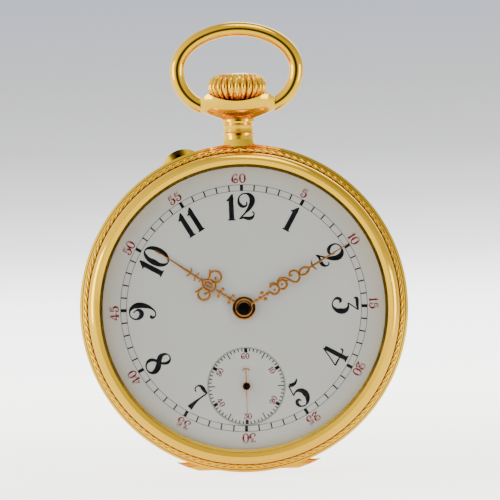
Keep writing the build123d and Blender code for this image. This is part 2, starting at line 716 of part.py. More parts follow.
# ---- Bezel and glass ----
with BuildPart() as bezel:
    bezel_low = case_front + case_gap
    bezel_top = bezel_low + bezel_height
    sleeve_r = bore_r - case_gap
    inner_r = sleeve_r - bezel_inner_wall
    glass_seat_h = bezel_low + glass_seat
    glass_r = inner_r + 0.4
    with BuildSketch(half_section()) as ring:
        with BuildLine():
            Line((bezel_r, bezel_low), (bezel_r, bezel_low + 0.45))
            TangentArc((bezel_r, bezel_low + 0.45), (bezel_r - 1.05, bezel_top), tangent=(0, 1))
            Line((bezel_r - 1.05, bezel_top), (glass_r + case_gap, bezel_top - 0.25))
            Line((glass_r + case_gap, bezel_top - 0.25), (glass_r + case_gap, glass_seat_h))
            Line((glass_r + case_gap, glass_seat_h), (inner_r, glass_seat_h))
            Line((inner_r, glass_seat_h), (inner_r, dial_high + 0.1))
            Line((inner_r, dial_high + 0.1), (sleeve_r, dial_high + 0.1))
            Line((sleeve_r, dial_high + 0.1), (sleeve_r, bezel_low))
            Line((sleeve_r, bezel_low), (bezel_r, bezel_low))
        make_face()
    revolve(ring.sketch, axis=Axis((0, 0, 0), (0, -1, 0)))
finish(bezel.part, "bezel")

with BuildPart() as crystal:
    turn([
        (0, glass_seat_h + glass_rise - glass_t + 0.35),
        (glass_r - glass_flat_in, glass_seat_h + glass_rise - glass_t + 0.35),
        (glass_r - 1.0, glass_seat_h + 0.02),
        (glass_r, glass_seat_h + 0.02),
        (glass_r, glass_seat_h + glass_edge_t),
        (glass_r - glass_flat_in + 0.3, glass_seat_h + glass_rise + 0.35),
        (0, glass_seat_h + glass_rise + 0.35),
    ])
finish(crystal.part, "crystal")

# ---- Main plate ----
with BuildPart() as main_plate:
    post(plate_r, plate_low, plate_high)
    post(barrel_reach + 0.2, plate_low, barrel_recess_h, barrel_x, barrel_z, Mode.SUBTRACT)
    post(0.85, plate_low, plate_high, barrel_x, barrel_z, Mode.SUBTRACT)
    post(center_arbor_r + run_gap, plate_low, plate_high, mode=Mode.SUBTRACT)
    with BuildSketch(face_on(plate_low)) as pocket:
        tapered_bar((escape_x, escape_z), escape_r + 0.25, (pallet_x, pallet_z), 2.4)
        tapered_bar((pallet_x, pallet_z), 2.4, (balance_x, balance_z), 1.6)
    slab(pocket.sketch, pocket_h - plate_low, Mode.SUBTRACT)
    for x, z in plate_jewels + [(0.0, seconds_z)]:
        post(jewel_r, plate_low, plate_high, x, z, Mode.SUBTRACT)
    for x, z in bridge_feet + case_screw_places:
        post(screw_r + screw_gap, plate_low, plate_high, x, z, Mode.SUBTRACT)
    for x, z in pallet_feet:
        post(0.3 + screw_gap, plate_low, plate_low + 1.0, x, z, Mode.SUBTRACT)
    for x, z in dial_feet_places:
        post(dial_foot_r, plate_low, plate_high, x, z, Mode.SUBTRACT)
    bar_on_stem(stem_r + case_gap, stem_inner_z - 0.1, plate_r + 1, Mode.SUBTRACT)
    pinion_room = winding_pinion_r + 0.12
    block(
        -pinion_room, pinion_room, winding_pinion_z - 0.1, winding_pinion_z + winding_pinion_t + 0.1,
        plate_low, plate_high, Mode.SUBTRACT,
    )
    block(-1.35, 1.35, stem_inner_z + 0.55, winding_pinion_z, plate_low, plate_high, Mode.SUBTRACT)
    post(0.4, plate_high, dial_low - 0.05, minute_wheel_x, minute_wheel_z)
finish(main_plate.part, "main_plate")


# ---- Bridges and cocks: plates over the train, standing on the main plate by round feet ----
def bridge_body(outline, feet, jewels, low=bridge_low):
    """Flat bridge of a given outline, kept inside the movement's edge, with drilled feet."""
    with BuildSketch(face_on(low)) as shape:
        with BuildLine():
            Polyline(*outline, close=True)
        make_face()
        Circle(bridge_r, mode=Mode.INTERSECT)
    slab(shape.sketch, bridge_t)
    for x, z in feet:
        post(foot_r, low, plate_low, x, z)
        post(screw_r + screw_gap, low, plate_low, x, z, Mode.SUBTRACT)
        post(screw_head_r + screw_gap, low, low + 0.4, x, z, Mode.SUBTRACT)
    for x, z in jewels:
        post(jewel_r, low, low + bridge_t, x, z, Mode.SUBTRACT)


far = case_r + 2
split_x, split_z = 2.6, 2.2
split_fall = 8.2  # how much lower the dividing line ends at the right
with BuildPart() as barrel_bridge:
    bridge_body(
        [(-far, split_z), (split_x, split_z), (far, split_z - split_fall), (far, far), (-far, far)],
        barrel_bridge_feet,
        [],
    )
    groove_in, groove_out = 2.3, 3.4
    turn([
        (groove_in, bridge_low - 1),
        (groove_out, bridge_low - 1),
        (groove_out, face_teeth_h + 0.04),
        (groove_in, face_teeth_h + 0.04),
    ], 0, crown_wheel_z, Mode.SUBTRACT)
    block(
        -pinion_room, pinion_room, winding_pinion_z - 0.1, winding_pinion_z + winding_pinion_t + 0.1,
        bridge_low + 0.3, bridge_high + 0.1, Mode.SUBTRACT,
    )
    post(screw_r + screw_gap, bridge_low, bridge_high, 0, crown_wheel_z, Mode.SUBTRACT)
    post(0.85, bridge_low, bridge_high, barrel_x, barrel_z, Mode.SUBTRACT)
    click_x, click_z = barrel_x + 6.35, barrel_z - 4.6
    post(0.35, winding_low, bridge_low, click_x, click_z)
finish(barrel_bridge.part, "barrel_bridge")

with BuildPart() as train_bridge:
    gap = 0.3
    bridge_body(
        [
            (-3.2, split_z - gap),
            (split_x, split_z - gap),
            (far, split_z - split_fall - gap),
            (far, -far),
            (-7.2, -far),
            (-6.4, -15.8),
            (-5.7, -10.6),
            (-5.3, -7.4),
            (-3.2, -3.2),
        ],
        train_bridge_feet,
        bridge_jewels,
    )
finish(train_bridge.part, "train_bridge")

with BuildPart() as balance_cock:
    with BuildSketch(face_on(bridge_low)) as arm:
        tapered_bar((balance_x, balance_z), 2.5, cock_foot, foot_r)
    slab(arm.sketch, bridge_t)
    post(foot_r, bridge_low, plate_low, *cock_foot)
    post(screw_r + screw_gap, bridge_low, plate_low, *cock_foot, Mode.SUBTRACT)
    post(screw_head_r + screw_gap, bridge_low, bridge_low + 0.4, *cock_foot, Mode.SUBTRACT)
    post(jewel_r, bridge_low, bridge_high, balance_x, balance_z, Mode.SUBTRACT)
    stud_x, stud_z = balance_x, balance_z + 2.1
    post(0.25, bridge_high, balance_h - 0.1, stud_x, stud_z)
finish(balance_cock.part, "balance_cock")

with BuildPart() as pallet_bridge:
    with BuildSketch(face_on(pallet_bridge_h)) as arm:
        with Locations((pallet_x, pallet_z)):
            SlotCenterToCenter(8.0, 2 * pallet_foot_r, rotation=lever_angle + 90)
    slab(arm.sketch, pallet_bridge_t)
    for x, z in pallet_feet:
        post(pallet_foot_r - 0.1, pallet_bridge_h + pallet_bridge_t / 2, plate_low, x, z)
        post(0.3 + screw_gap, pallet_bridge_h, plate_low, x, z, Mode.SUBTRACT)
    post(pivot_r + run_gap, pallet_bridge_h, plate_low, pallet_x, pallet_z, Mode.SUBTRACT)
finish(pallet_bridge.part, "pallet_bridge")

# ---- Screws and jewels, as groups ----
with BuildPart() as bridge_screws:
    for x, z in bridge_feet:
        post(screw_r, bridge_low + 0.4, plate_high - 0.3, x, z)
        post(screw_head_r, bridge_low, bridge_low + 0.4, x, z)
        block(x - 1, x + 1, z - 0.11, z + 0.11, bridge_low - 0.1, bridge_low + 0.15, Mode.SUBTRACT)
    for x, z in pallet_feet:
        post(0.3, pallet_bridge_h, plate_low + 0.9, x, z)
        post(0.5, pallet_bridge_h - 0.12, pallet_bridge_h, x, z)
finish(bridge_screws.part, "bridge_screws")

with BuildPart() as case_screws:
    for x, z in case_screw_places:
        screw_seat = plate_low - ledge_t - 0.3
        post(1.1, screw_seat, plate_low - ledge_t, x, z)
        post(screw_r, plate_low - ledge_t, plate_high - 0.3, x, z)
        block(x - 2, x + 2, z - 0.12, z + 0.12, screw_seat - 0.1, screw_seat + 0.12, Mode.SUBTRACT)
finish(case_screws.part, "case_screws")

with BuildPart() as jewels:
    for x, z in bridge_jewels + [(balance_x, balance_z)]:
        hole_r = 0.3 if hypot(x, z) < 1 else pivot_r
        low = bridge_low + 0.1
        turn([
            (hole_r + run_gap, low),
            (jewel_r, low),
            (jewel_r, low + jewel_t),
            (hole_r + run_gap, low + jewel_t),
        ], x, z)
    for x, z in plate_jewels + [(0.0, seconds_z)]:
        hole_r = arbor_r if (x, z) == (0.0, seconds_z) else pivot_r
        low = pocket_h + 0.1
        turn([
            (hole_r + run_gap, low),
            (jewel_r, low),
            (jewel_r, low + jewel_t),
            (hole_r + run_gap, low + jewel_t),
        ], x, z)
finish(jewels.part, "jewels")


# ---- Going train ----
def arbor(x, z, shoulder_low=bridge_high + 0.04, shoulder_high=plate_low - 0.04, top=pocket_h + 0.5):
    """Steel arbor with a thin pivot at each end."""
    post(arbor_r, shoulder_low, shoulder_high, x, z)
    post(pivot_r, bridge_low + 0.1, top, x, z)


with BuildPart() as center_wheel:
    toothed(
        center_teeth, center_module, center_wheel_h, center_wheel_h + wheel_t,
        first=tooth_facing(0, 0, third_x, third_z),
    )
    spokes(center_wheel_h, center_wheel_h + wheel_t, 1.7, 4.9, 5)
    toothed(
        center_pinion_teeth, barrel_module, barrel_teeth_h - 0.1, plate_low - 0.05,
        first=gap_facing(center_pinion_teeth, 0, 0, barrel_x, barrel_z), leaf=True,
    )
    post(center_arbor_r, center_wheel_h, minute_hand_h + hand_t + 0.25)
    post(0.3, bridge_low + 0.1, center_wheel_h)
finish(center_wheel.part, "center_wheel")

with BuildPart() as third_wheel:
    toothed(
        third_pinion_teeth, center_module, center_wheel_h - 0.05, center_wheel_h + wheel_t + 0.05, third_x, third_z,
        gap_facing(third_pinion_teeth, third_x, third_z, 0, 0), leaf=True,
    )
    toothed(
        third_teeth, third_module, third_wheel_h, third_wheel_h + wheel_t, third_x, third_z,
        tooth_facing(third_x, third_z, 0, seconds_z),
    )
    spokes(third_wheel_h, third_wheel_h + wheel_t, 1.2, 4.3, 5, third_x, third_z)
    arbor(third_x, third_z)
finish(third_wheel.part, "third_wheel")

with BuildPart() as fourth_wheel:
    toothed(
        fourth_pinion_teeth, third_module, third_wheel_h - 0.05, third_wheel_h + wheel_t + 0.05, 0, seconds_z,
        gap_facing(fourth_pinion_teeth, 0, seconds_z, third_x, third_z), leaf=True,
    )
    toothed(
        fourth_teeth, fourth_module, center_wheel_h, center_wheel_h + 0.15, 0, seconds_z,
        tooth_facing(0, seconds_z, escape_x, escape_z),
    )
    spokes(center_wheel_h, center_wheel_h + 0.15, 1.1, 3.5, 4, 0, seconds_z)
    post(arbor_r, bridge_high + 0.04, seconds_hand_h + 0.2, 0, seconds_z)
    post(pivot_r, bridge_low + 0.1, bridge_high + 0.1, 0, seconds_z)
finish(fourth_wheel.part, "fourth_wheel")

with BuildPart() as escape_wheel:
    toothed(
        escape_pinion_teeth, fourth_module, center_wheel_h - 0.04, center_wheel_h + 0.19, escape_x, escape_z,
        gap_facing(escape_pinion_teeth, escape_x, escape_z, 0, seconds_z), leaf=True,
    )
    with BuildSketch(face_on(escape_h, escape_x, escape_z)) as club_wheel:
        with BuildLine():
            points = []
            for number in range(escape_teeth):
                start = number * 360 / escape_teeth
                points.append(polar_point(start, escape_r - 0.55))
                points.append(polar_point(start + 5, escape_r - 0.1))
                points.append(polar_point(start + 9, escape_r))
                points.append(polar_point(start + 10, escape_r - 0.55))
            Polyline(*points, close=True)
        make_face()
    slab(club_wheel.sketch, wheel_t)
    spokes(escape_h, escape_h + wheel_t, 0.6, 1.65, 4, escape_x, escape_z)
    arbor(escape_x, escape_z, shoulder_high=escape_h + wheel_t)
finish(escape_wheel.part, "escape_wheel")


# ---- Lever escapement and balance ----
def on_lever(along, across):
    """Point measured from the pallet axis, along the line to the balance and across it."""
    turn_angle = radians(lever_angle)
    return (
        pallet_x + along * cos(turn_angle) - across * sin(turn_angle),
        pallet_z + along * sin(turn_angle) + across * cos(turn_angle),
    )


def in_reach(points, low, high):
    """Flat piece between two heights, from points measured along the lever."""
    with BuildSketch(face_on(low)) as profile:
        with BuildLine():
            Polyline(*[on_lever(along, across) for along, across in points], close=True)
        make_face()
    extrude(profile.sketch, amount=high - low)


roller_r = 1.05
fork_tip = lever_length - 1.25
stone_reach = pallet_distance - escape_r * cos(radians(34)) - 0.05
stone_side = escape_r * sin(radians(34)) + 0.2
with BuildPart() as pallet_fork:
    post(0.45, escape_h, escape_h + 0.2, pallet_x, pallet_z)
    post(pivot_r, pallet_bridge_h + 0.05, pocket_h + 0.5, pallet_x, pallet_z)
    in_reach([(0, -0.2), (fork_tip - 0.6, -0.14), (fork_tip - 0.6, 0.14), (0, 0.2)], escape_h, escape_h + 0.2)
    for side in (-1, 1):
        in_reach(
            [
                (fork_tip - 0.75, 0),
                (fork_tip - 0.6, 0.14 * side),
                (fork_tip - 0.45, 0.14 * side),
                (fork_tip, 0.2 * side),
                (fork_tip, 0.42 * side),
                (fork_tip - 0.6, 0.38 * side),
            ],
            escape_h, escape_h + 0.2,
        )
        in_reach(
            [
                (0.3, 0.15 * side),
                (-stone_reach + 0.4, (stone_side + 0.35) * side),
                (-stone_reach - 0.05, (stone_side + 0.2) * side),
                (-0.4, 0.15 * side),
            ],
            escape_h, escape_h + 0.2,
        )
finish(pallet_fork.part, "pallet_fork")

with BuildPart() as pallet_stones:
    for side in (-1, 1):
        in_reach(
            [
                (-stone_reach + 0.05, (stone_side + 0.05) * side),
                (-stone_reach + 0.1, (stone_side + 0.35) * side),
                (-stone_reach - 0.35, (stone_side + 0.32) * side),
                (-stone_reach - 0.35, (stone_side + 0.05) * side),
            ],
            escape_h - 0.13, escape_h,
        )
finish(pallet_stones.part, "pallet_stones")

with BuildPart() as balance_wheel:
    rim_w = 0.55
    turn([
        (balance_r - rim_w, balance_h),
        (balance_r, balance_h),
        (balance_r, balance_h + balance_rim_t),
        (balance_r - rim_w, balance_h + balance_rim_t),
    ], balance_x, balance_z)
    with Locations(face_on(balance_h + 0.1, balance_x, balance_z)):
        Box(2 * balance_r - rim_w, 0.9, 0.2, align=STANDING)
    post(0.9, balance_h + 0.1, balance_h + 0.3, balance_x, balance_z)
    post(arbor_r, balance_h, balance_h + balance_rim_t, balance_x, balance_z, Mode.SUBTRACT)
finish(balance_wheel.part, "balance_wheel")

with BuildPart() as balance_screws:
    screw_h = balance_h + balance_rim_t / 2
    for number in range(12):
        direction = radians(15 + number * 30)
        place = Plane(
            origin=(balance_x + balance_r * cos(direction), -screw_h, balance_z + balance_r * sin(direction)),
            x_dir=(0, 1, 0),
            z_dir=(cos(direction), 0, sin(direction)),
        )
        with Locations(place):
            Cylinder(0.17, 0.35, align=STANDING)
finish(balance_screws.part, "balance_screws")

with BuildPart() as balance_staff:
    post(arbor_r, bridge_high + 0.04, escape_h - 0.1, balance_x, balance_z)
    post(pivot_r, bridge_low + 0.1, pocket_h + 0.5, balance_x, balance_z)
finish(balance_staff.part, "balance_staff")

with BuildPart() as roller:
    post(roller_r, escape_h - 0.1, escape_h + 0.05, balance_x, balance_z)
    roller_pin = on_lever(lever_length - 0.75, 0)
    post(0.12, escape_h + 0.05, escape_h + 0.2, *roller_pin)
    post(pivot_r, escape_h - 0.2, escape_h + 0.2, balance_x, balance_z, Mode.SUBTRACT)
finish(roller.part, "roller")

with BuildPart() as hairspring:
    spiral_strip(bridge_high + 0.12, balance_h - 0.12, 0.5, 2.1, 7.25, 0.05, balance_x, balance_z)
finish(hairspring.part, "hairspring")

with BuildPart() as regulator:
    index_angle = radians(lever_angle + 35)
    with BuildSketch(face_on(bridge_low - 0.25)) as index:
        index_tip = (balance_x + 4.6 * cos(index_angle), balance_z + 4.6 * sin(index_angle))
        tapered_bar((balance_x, balance_z), 1.3, index_tip, 0.15)
    slab(index.sketch, 0.22)
    post(jewel_r + 0.1, bridge_low - 0.3, bridge_low, balance_x, balance_z, Mode.SUBTRACT)
finish(regulator.part, "regulator")

# ---- Barrel with its mainspring, and the arbor that winds it ----
with BuildPart() as barrel:
    turn([
        (barrel_r - 0.45, barrel_low + 0.2),
        (barrel_r, barrel_low + 0.2),
        (barrel_r, barrel_high),
        (0.9, barrel_high),
        (0.9, barrel_high - 0.25),
        (barrel_r - 0.45, barrel_high - 0.25),
    ], barrel_x, barrel_z)
    with BuildSketch(face_on(barrel_teeth_h, barrel_x, barrel_z)) as rim:
        with BuildLine():
            first_tooth = tooth_facing(barrel_x, barrel_z, 0, 0)
            Polyline(*tooth_points(barrel_teeth, barrel_module, first_tooth, False), close=True)
        make_face()
        Circle(barrel_r - 0.1, mode=Mode.SUBTRACT)
    slab(rim.sketch, 0.4)
finish(barrel.part, "barrel")

with BuildPart() as barrel_cover:
    turn([
        (0.9, barrel_low),
        (barrel_r, barrel_low),
        (barrel_r, barrel_low + 0.2),
        (0.9, barrel_low + 0.2),
    ], barrel_x, barrel_z)
finish(barrel_cover.part, "barrel_cover")

with BuildPart() as mainspring:
    spiral_strip(
        barrel_low + 0.3, barrel_high - 0.35, 3.6, barrel_r - 0.65, 10, 0.16, barrel_x, barrel_z,
    )
finish(mainspring.part, "mainspring")

with BuildPart() as barrel_arbor:
    post(0.8, winding_low, plate_high - 0.2, barrel_x, barrel_z)
    post(2.2, barrel_low + 0.3, barrel_high - 0.35, barrel_x, barrel_z)
finish(barrel_arbor.part, "barrel_arbor")

with BuildPart() as ratchet_wheel:
    toothed(
        ratchet_teeth, winding_module, winding_low, winding_low + winding_t, barrel_x, barrel_z,
        gap_facing(ratchet_teeth, barrel_x, barrel_z, 0, crown_wheel_z),
    )
    post(0.8, winding_low, winding_low + winding_t, barrel_x, barrel_z, Mode.SUBTRACT)
finish(ratchet_wheel.part, "ratchet_wheel")

with BuildPart() as ratchet_screw:
    post(1.3, winding_low - 0.3, winding_low, barrel_x, barrel_z)
    block(
        barrel_x - 2, barrel_x + 2, barrel_z - 0.15, barrel_z + 0.15, winding_low - 0.4, winding_low - 0.15,
        Mode.SUBTRACT,
    )
finish(ratchet_screw.part, "ratchet_screw")

with BuildPart() as crown_wheel:
    toothed(
        crown_wheel_teeth, winding_module, winding_low, winding_low + winding_t, 0, crown_wheel_z,
        tooth_facing(0, crown_wheel_z, barrel_x, barrel_z),
    )
    for number in range(crown_wheel_teeth):
        tooth_x, tooth_z = polar_point(number * 360 / crown_wheel_teeth, 2.85)
        place = Plane(
            origin=(tooth_x, -(winding_low + winding_t), crown_wheel_z + tooth_z),
            x_dir=(tooth_x, 0, tooth_z),
            z_dir=(0, -1, 0),
        )
        with Locations(place):
            Box(0.8, 0.34, face_teeth_h - winding_low - winding_t, align=STANDING)
    post(1.2 + run_gap, winding_low, winding_low + winding_t, 0, crown_wheel_z, Mode.SUBTRACT)
finish(crown_wheel.part, "crown_wheel")

with BuildPart() as crown_wheel_core:
    post(1.2, winding_low, bridge_low, 0, crown_wheel_z)
    post(1.6, winding_low - 0.2, winding_low - 0.03, 0, crown_wheel_z)
    post(1.2, winding_low - 0.05, winding_low, 0, crown_wheel_z)
    post(screw_r, bridge_low, bridge_high - 0.1, 0, crown_wheel_z)
    block(-2, 2, crown_wheel_z - 0.13, crown_wheel_z + 0.13, winding_low - 0.3, winding_low - 0.1, Mode.SUBTRACT)
finish(crown_wheel_core.part, "crown_wheel_core")

with BuildPart() as click:
    with BuildSketch(face_on(winding_low)) as pawl:
        tapered_bar((click_x, click_z), 0.8, (click_x - 0.45, click_z + 1.6), 0.2)
    slab(pawl.sketch, winding_t - 0.05)
    post(0.35 + run_gap, winding_low, bridge_low, click_x, click_z, Mode.SUBTRACT)
finish(click.part, "click")

with BuildPart() as click_spring:
    spring_h = bridge_low - 0.2
    with BuildSketch(face_on(spring_h)) as strip:
        with Locations((click_x + 1.2, click_z - 2.6)):
            Circle(0.6)
        with BuildLine():
            Polyline(
                (click_x + 1.0, click_z - 2.6),
                (click_x + 1.4, click_z - 2.6),
                (click_x + 1.35, click_z + 0.6),
                (click_x + 1.15, click_z + 0.6),
                close=True,
            )
        make_face()
    slab(strip.sketch, 0.2)
finish(click_spring.part, "click_spring")

# ---- Motion work behind the dial ----
with BuildPart() as cannon_pinion:
    toothed(
        cannon_teeth, cannon_module, plate_high + 0.05, plate_high + 0.33,
        first=tooth_facing(0, 0, minute_wheel_x, minute_wheel_z), leaf=True,
    )
    post(cannon_r, plate_high + 0.05, minute_hand_h)
    post(center_arbor_r, plate_high, minute_hand_h + 1, mode=Mode.SUBTRACT)
finish(cannon_pinion.part, "cannon_pinion")

with BuildPart() as minute_wheel:
    toothed(
        minute_wheel_teeth, cannon_module, plate_high + 0.08, plate_high + 0.28, minute_wheel_x, minute_wheel_z,
        gap_facing(minute_wheel_teeth, minute_wheel_x, minute_wheel_z, 0, 0),
    )
    toothed(
        minute_pinion_teeth, hour_module, plate_high + 0.28, dial_low - 0.08, minute_wheel_x, minute_wheel_z,
        gap_facing(minute_pinion_teeth, minute_wheel_x, minute_wheel_z, 0, 0), leaf=True,
    )
    post(0.4 + run_gap, plate_high, dial_low, minute_wheel_x, minute_wheel_z, Mode.SUBTRACT)
finish(minute_wheel.part, "minute_wheel")

with BuildPart() as hour_wheel:
    toothed(
        hour_teeth, hour_module, plate_high + 0.42, plate_high + 0.62,
        first=tooth_facing(0, 0, minute_wheel_x, minute_wheel_z),
    )
    post(hour_pipe_r, plate_high + 0.42, hour_hand_h)
    post(cannon_r + run_gap, plate_high, hour_hand_h + 1, mode=Mode.SUBTRACT)
finish(hour_wheel.part, "hour_wheel")

with BuildPart() as set_lever:
    with BuildSketch(face_on(plate_high)) as yoke:
        tapered_bar(polar_point(90 + set_angle, plate_r - 1.2), 0.7, (-4.2, 14.6), 0.9)
    slab(yoke.sketch, 0.25)
finish(set_lever.part, "set_lever")

# ---- Dial ----
dial_hole_r = hour_pipe_r + 0.15
seconds_dial_r = 5.75
with BuildPart() as dial:
    post(dial_r, dial_low, dial_high)
    post(dial_hole_r, dial_low, dial_high, mode=Mode.SUBTRACT)
    post(seconds_dial_r, dial_low, dial_high, 0, seconds_z, Mode.SUBTRACT)
finish(dial.part, "dial")

with BuildPart() as seconds_dial:
    post(seconds_dial_r, dial_low, seconds_high, 0, seconds_z)
    post(arbor_r + 0.12, dial_low, seconds_high, 0, seconds_z, Mode.SUBTRACT)
finish(seconds_dial.part, "seconds_dial")

with BuildPart() as dial_feet:
    for x, z in dial_feet_places:
        post(dial_foot_r, plate_low + 0.2, dial_low, x, z)
finish(dial_feet.part, "dial_feet")


# ---- Hands: a hub ring and a pierced blade ----
def hand_blade(height, angle, reach, rings, root):
    """Tapered blade along a clock angle with pierced rings along it, given as (distance, radius)."""
    across = (cos(radians(angle)), -sin(radians(angle)))
    with BuildSketch(face_on(height)) as blade:
        with BuildLine():
            corners = []
            for distance, half in ((root, 0.35), (reach * 0.7, 0.2), (reach, 0.06)):
                corners.append((distance, half))
            outline = [(d, w) for d, w in corners] + [(d, -w) for d, w in reversed(corners)]
            points = []
            for distance, offset in outline:
                x, z = clock_point(angle, distance)
                points.append((x + offset * across[0], z + offset * across[1]))
            Polyline(*points, close=True)
        make_face()
        for distance, radius in rings:
            with Locations(clock_point(angle, distance)):
                Circle(radius)
        for distance, radius in rings:
            with Locations(clock_point(angle, distance)):
                Circle(radius - 0.3, mode=Mode.SUBTRACT)
    slab(blade.sketch, hand_t)


with BuildPart() as hour_hand:
    hand_blade(hour_hand_h, hour_angle, hour_length, [(4.9, 0.7), (6.3, 1.2), (8.3, 0.6)], 1.2)
    post(1.75, hour_hand_h, hour_hand_h + 0.2)
    post(cannon_r + run_gap, hour_hand_h, hour_hand_h + 1, mode=Mode.SUBTRACT)
finish(hour_hand.part, "hour_hand")

with BuildPart() as minute_hand:
    hand_blade(minute_hand_h, minute_angle, minute_length, [(5.2, 0.75), (6.5, 0.7), (8.7, 0.85), (10.5, 0.6)], 1.2)
    post(1.3, minute_hand_h, minute_hand_h + 0.25)
    post(center_arbor_r, minute_hand_h, minute_hand_h + 1, mode=Mode.SUBTRACT)
finish(minute_hand.part, "minute_hand")

with BuildPart() as seconds_hand:
    hand_x, hand_z = clock_point(seconds_angle, seconds_length)
    tail_x, tail_z = clock_point(seconds_angle, -seconds_tail)
    with BuildSketch(face_on(seconds_hand_h, 0, seconds_z)) as needle:
        with Locations((0, (hand_z + tail_z) / 2)):
            Rectangle(0.14, seconds_length + seconds_tail)
        Circle(0.55)
        Circle(arbor_r, mode=Mode.SUBTRACT)
    slab(needle.sketch, 0.12)
finish(seconds_hand.part, "seconds_hand")
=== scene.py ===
"""Finish, print and hands of an open-face pocket watch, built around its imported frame.

Metres, in the frame's own axes: +X to 3 o'clock, +Z to the pendant, the dial looks to -Y.
"""

import json
from math import cos, pi, radians, sin

import bpy
from mathutils import Matrix, Vector


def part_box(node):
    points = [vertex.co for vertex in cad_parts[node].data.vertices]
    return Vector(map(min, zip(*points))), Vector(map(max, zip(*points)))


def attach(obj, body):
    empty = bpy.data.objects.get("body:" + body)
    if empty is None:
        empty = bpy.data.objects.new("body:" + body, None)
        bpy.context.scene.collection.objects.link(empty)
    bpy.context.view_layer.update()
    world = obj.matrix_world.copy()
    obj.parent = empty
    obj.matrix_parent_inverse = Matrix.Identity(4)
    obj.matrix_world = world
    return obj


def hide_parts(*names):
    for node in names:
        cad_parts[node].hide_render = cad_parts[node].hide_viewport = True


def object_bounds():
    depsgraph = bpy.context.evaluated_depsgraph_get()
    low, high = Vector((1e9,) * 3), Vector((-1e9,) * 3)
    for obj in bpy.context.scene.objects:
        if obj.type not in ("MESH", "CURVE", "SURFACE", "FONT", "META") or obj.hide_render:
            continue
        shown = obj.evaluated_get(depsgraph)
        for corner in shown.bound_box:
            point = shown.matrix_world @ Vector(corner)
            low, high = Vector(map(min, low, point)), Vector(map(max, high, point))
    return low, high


bl_info = {
    "name": "Open-face pocket watch",
    "version": (1, 0, 0),
    "blender": (4, 5, 0),
    "location": "View3D > Sidebar > Watch",
    "description": "Prints the dial, makes the hands and finishes the case of a pocket watch",
    "category": "Object",
}

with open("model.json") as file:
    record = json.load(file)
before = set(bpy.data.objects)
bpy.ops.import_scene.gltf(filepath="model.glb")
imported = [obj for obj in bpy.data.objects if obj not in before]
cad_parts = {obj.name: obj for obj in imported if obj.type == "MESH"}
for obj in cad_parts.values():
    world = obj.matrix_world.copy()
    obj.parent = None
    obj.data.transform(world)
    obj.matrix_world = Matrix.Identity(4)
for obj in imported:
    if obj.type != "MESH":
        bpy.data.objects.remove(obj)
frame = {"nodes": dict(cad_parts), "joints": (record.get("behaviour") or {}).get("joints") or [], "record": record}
cad_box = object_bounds()

MM = 0.001
DIAL_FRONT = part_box("dial")[0].y  # the enamel's front face
SECONDS_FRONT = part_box("seconds_dial")[0].y
# the sloping shoulder of the case band, where the laurel is cut
SHOULDER_SLOPE = radians(46)
LAUREL_RADIUS = 23.12 * MM
LAUREL_DEPTH = -8.5 * MM
LEAF_SLANT = radians(24)
# clock angles of the hands, which stand at ten past ten
MINUTE_ANGLE = radians(60)
HOUR_ANGLE = radians(305)
SECONDS_ANGLE = radians(180)
CROWN_STEM = 2.2 * MM  # bare neck of the crown below its ribs
joints = {joint["name"]: joint for joint in frame["joints"]}


def joint_place(name):
    """A joint's place as (x, z) in the dial's plane."""
    place = joints[name]["pos_m"]
    return place[0], place[2]


SECONDS_X, SECONDS_Z = joint_place("seconds_hand_turn")


def linear(hex_colour):
    """An sRGB hex colour as linear red, green, blue and full alpha."""
    channels = [int(hex_colour[i : i + 2], 16) / 255 for i in (0, 2, 4)]
    return tuple(c / 12.92 if c <= 0.04045 else ((c + 0.055) / 1.055) ** 2.4 for c in channels) + (1.0,)


def size(name, description, default):
    """A length property in metres."""
    return bpy.props.FloatProperty(
        name=name, description=description, default=default, unit="LENGTH", precision=5
    )


def colour(name, description, hex_colour):
    """A colour property with an sRGB hex default."""
    return bpy.props.FloatVectorProperty(
        name=name, description=description, default=linear(hex_colour), subtype="COLOR", size=4, min=0, max=1
    )


# ---- Sizes and colours that a user would change ----
class DialSizes(bpy.types.PropertyGroup):
    track_outer: size("Track outside", "Radius of the minute track's outer line", 18.02 * MM)
    track_inner: size("Track inside", "Radius of the minute track's inner line", 17.14 * MM)
    track_line: size("Track line", "Width of the track's two lines", 0.085 * MM)
    minute_tick: size("Minute tick", "Width of a minute's mark", 0.2 * MM)
    five_tick: size("Five-minute tick", "Width of the mark at each five minutes", 0.46 * MM)
    hour_height: size("Hour numeral height", "Height of the black hour numerals", 3.85 * MM)
    hour_radius: size("Hour numeral circle", "Radius of the circle through the hour numerals", 14.82 * MM)
    minute_height: size("Minute numeral height", "Height of the red minute numerals", 1.25 * MM)
    minute_radius: size("Minute numeral circle", "Radius of the circle of minute numerals", 18.95 * MM)
    seconds_outer: size("Seconds track", "Outer radius of the seconds marks", 5.52 * MM)
    seconds_height: size("Seconds numeral height", "Height of the red seconds numerals", 0.79 * MM)
    seconds_radius: size("Seconds numeral circle", "Radius of the circle of seconds numerals", 4.4 * MM)
    weight: bpy.props.FloatProperty(
        name="Stroke weight", description="How heavy the numerals' strokes are", default=1.32, subtype="FACTOR"
    )
    turn: bpy.props.FloatProperty(
        name="Dial turn",
        description="How far the dial sits turned in its seat",
        default=radians(-0.6),
        unit="ROTATION",
    )
    paint: size("Paint", "How far the fired paint stands above the enamel", 0.018 * MM)


class HandSizes(bpy.types.PropertyGroup):
    hour_length: size("Hour hand", "From the centre to the hour hand's tip", 15.5 * MM)
    minute_length: size("Minute hand", "From the centre to the minute hand's tip", 18.2 * MM)
    seconds_length: size("Seconds hand", "From its centre to the seconds hand's tip", 4.26 * MM)
    wire: size("Scroll wire", "Half width of the scrolls' wire", 0.19 * MM)
    thickness: size("Thickness", "Thickness of the hands", 0.16 * MM)


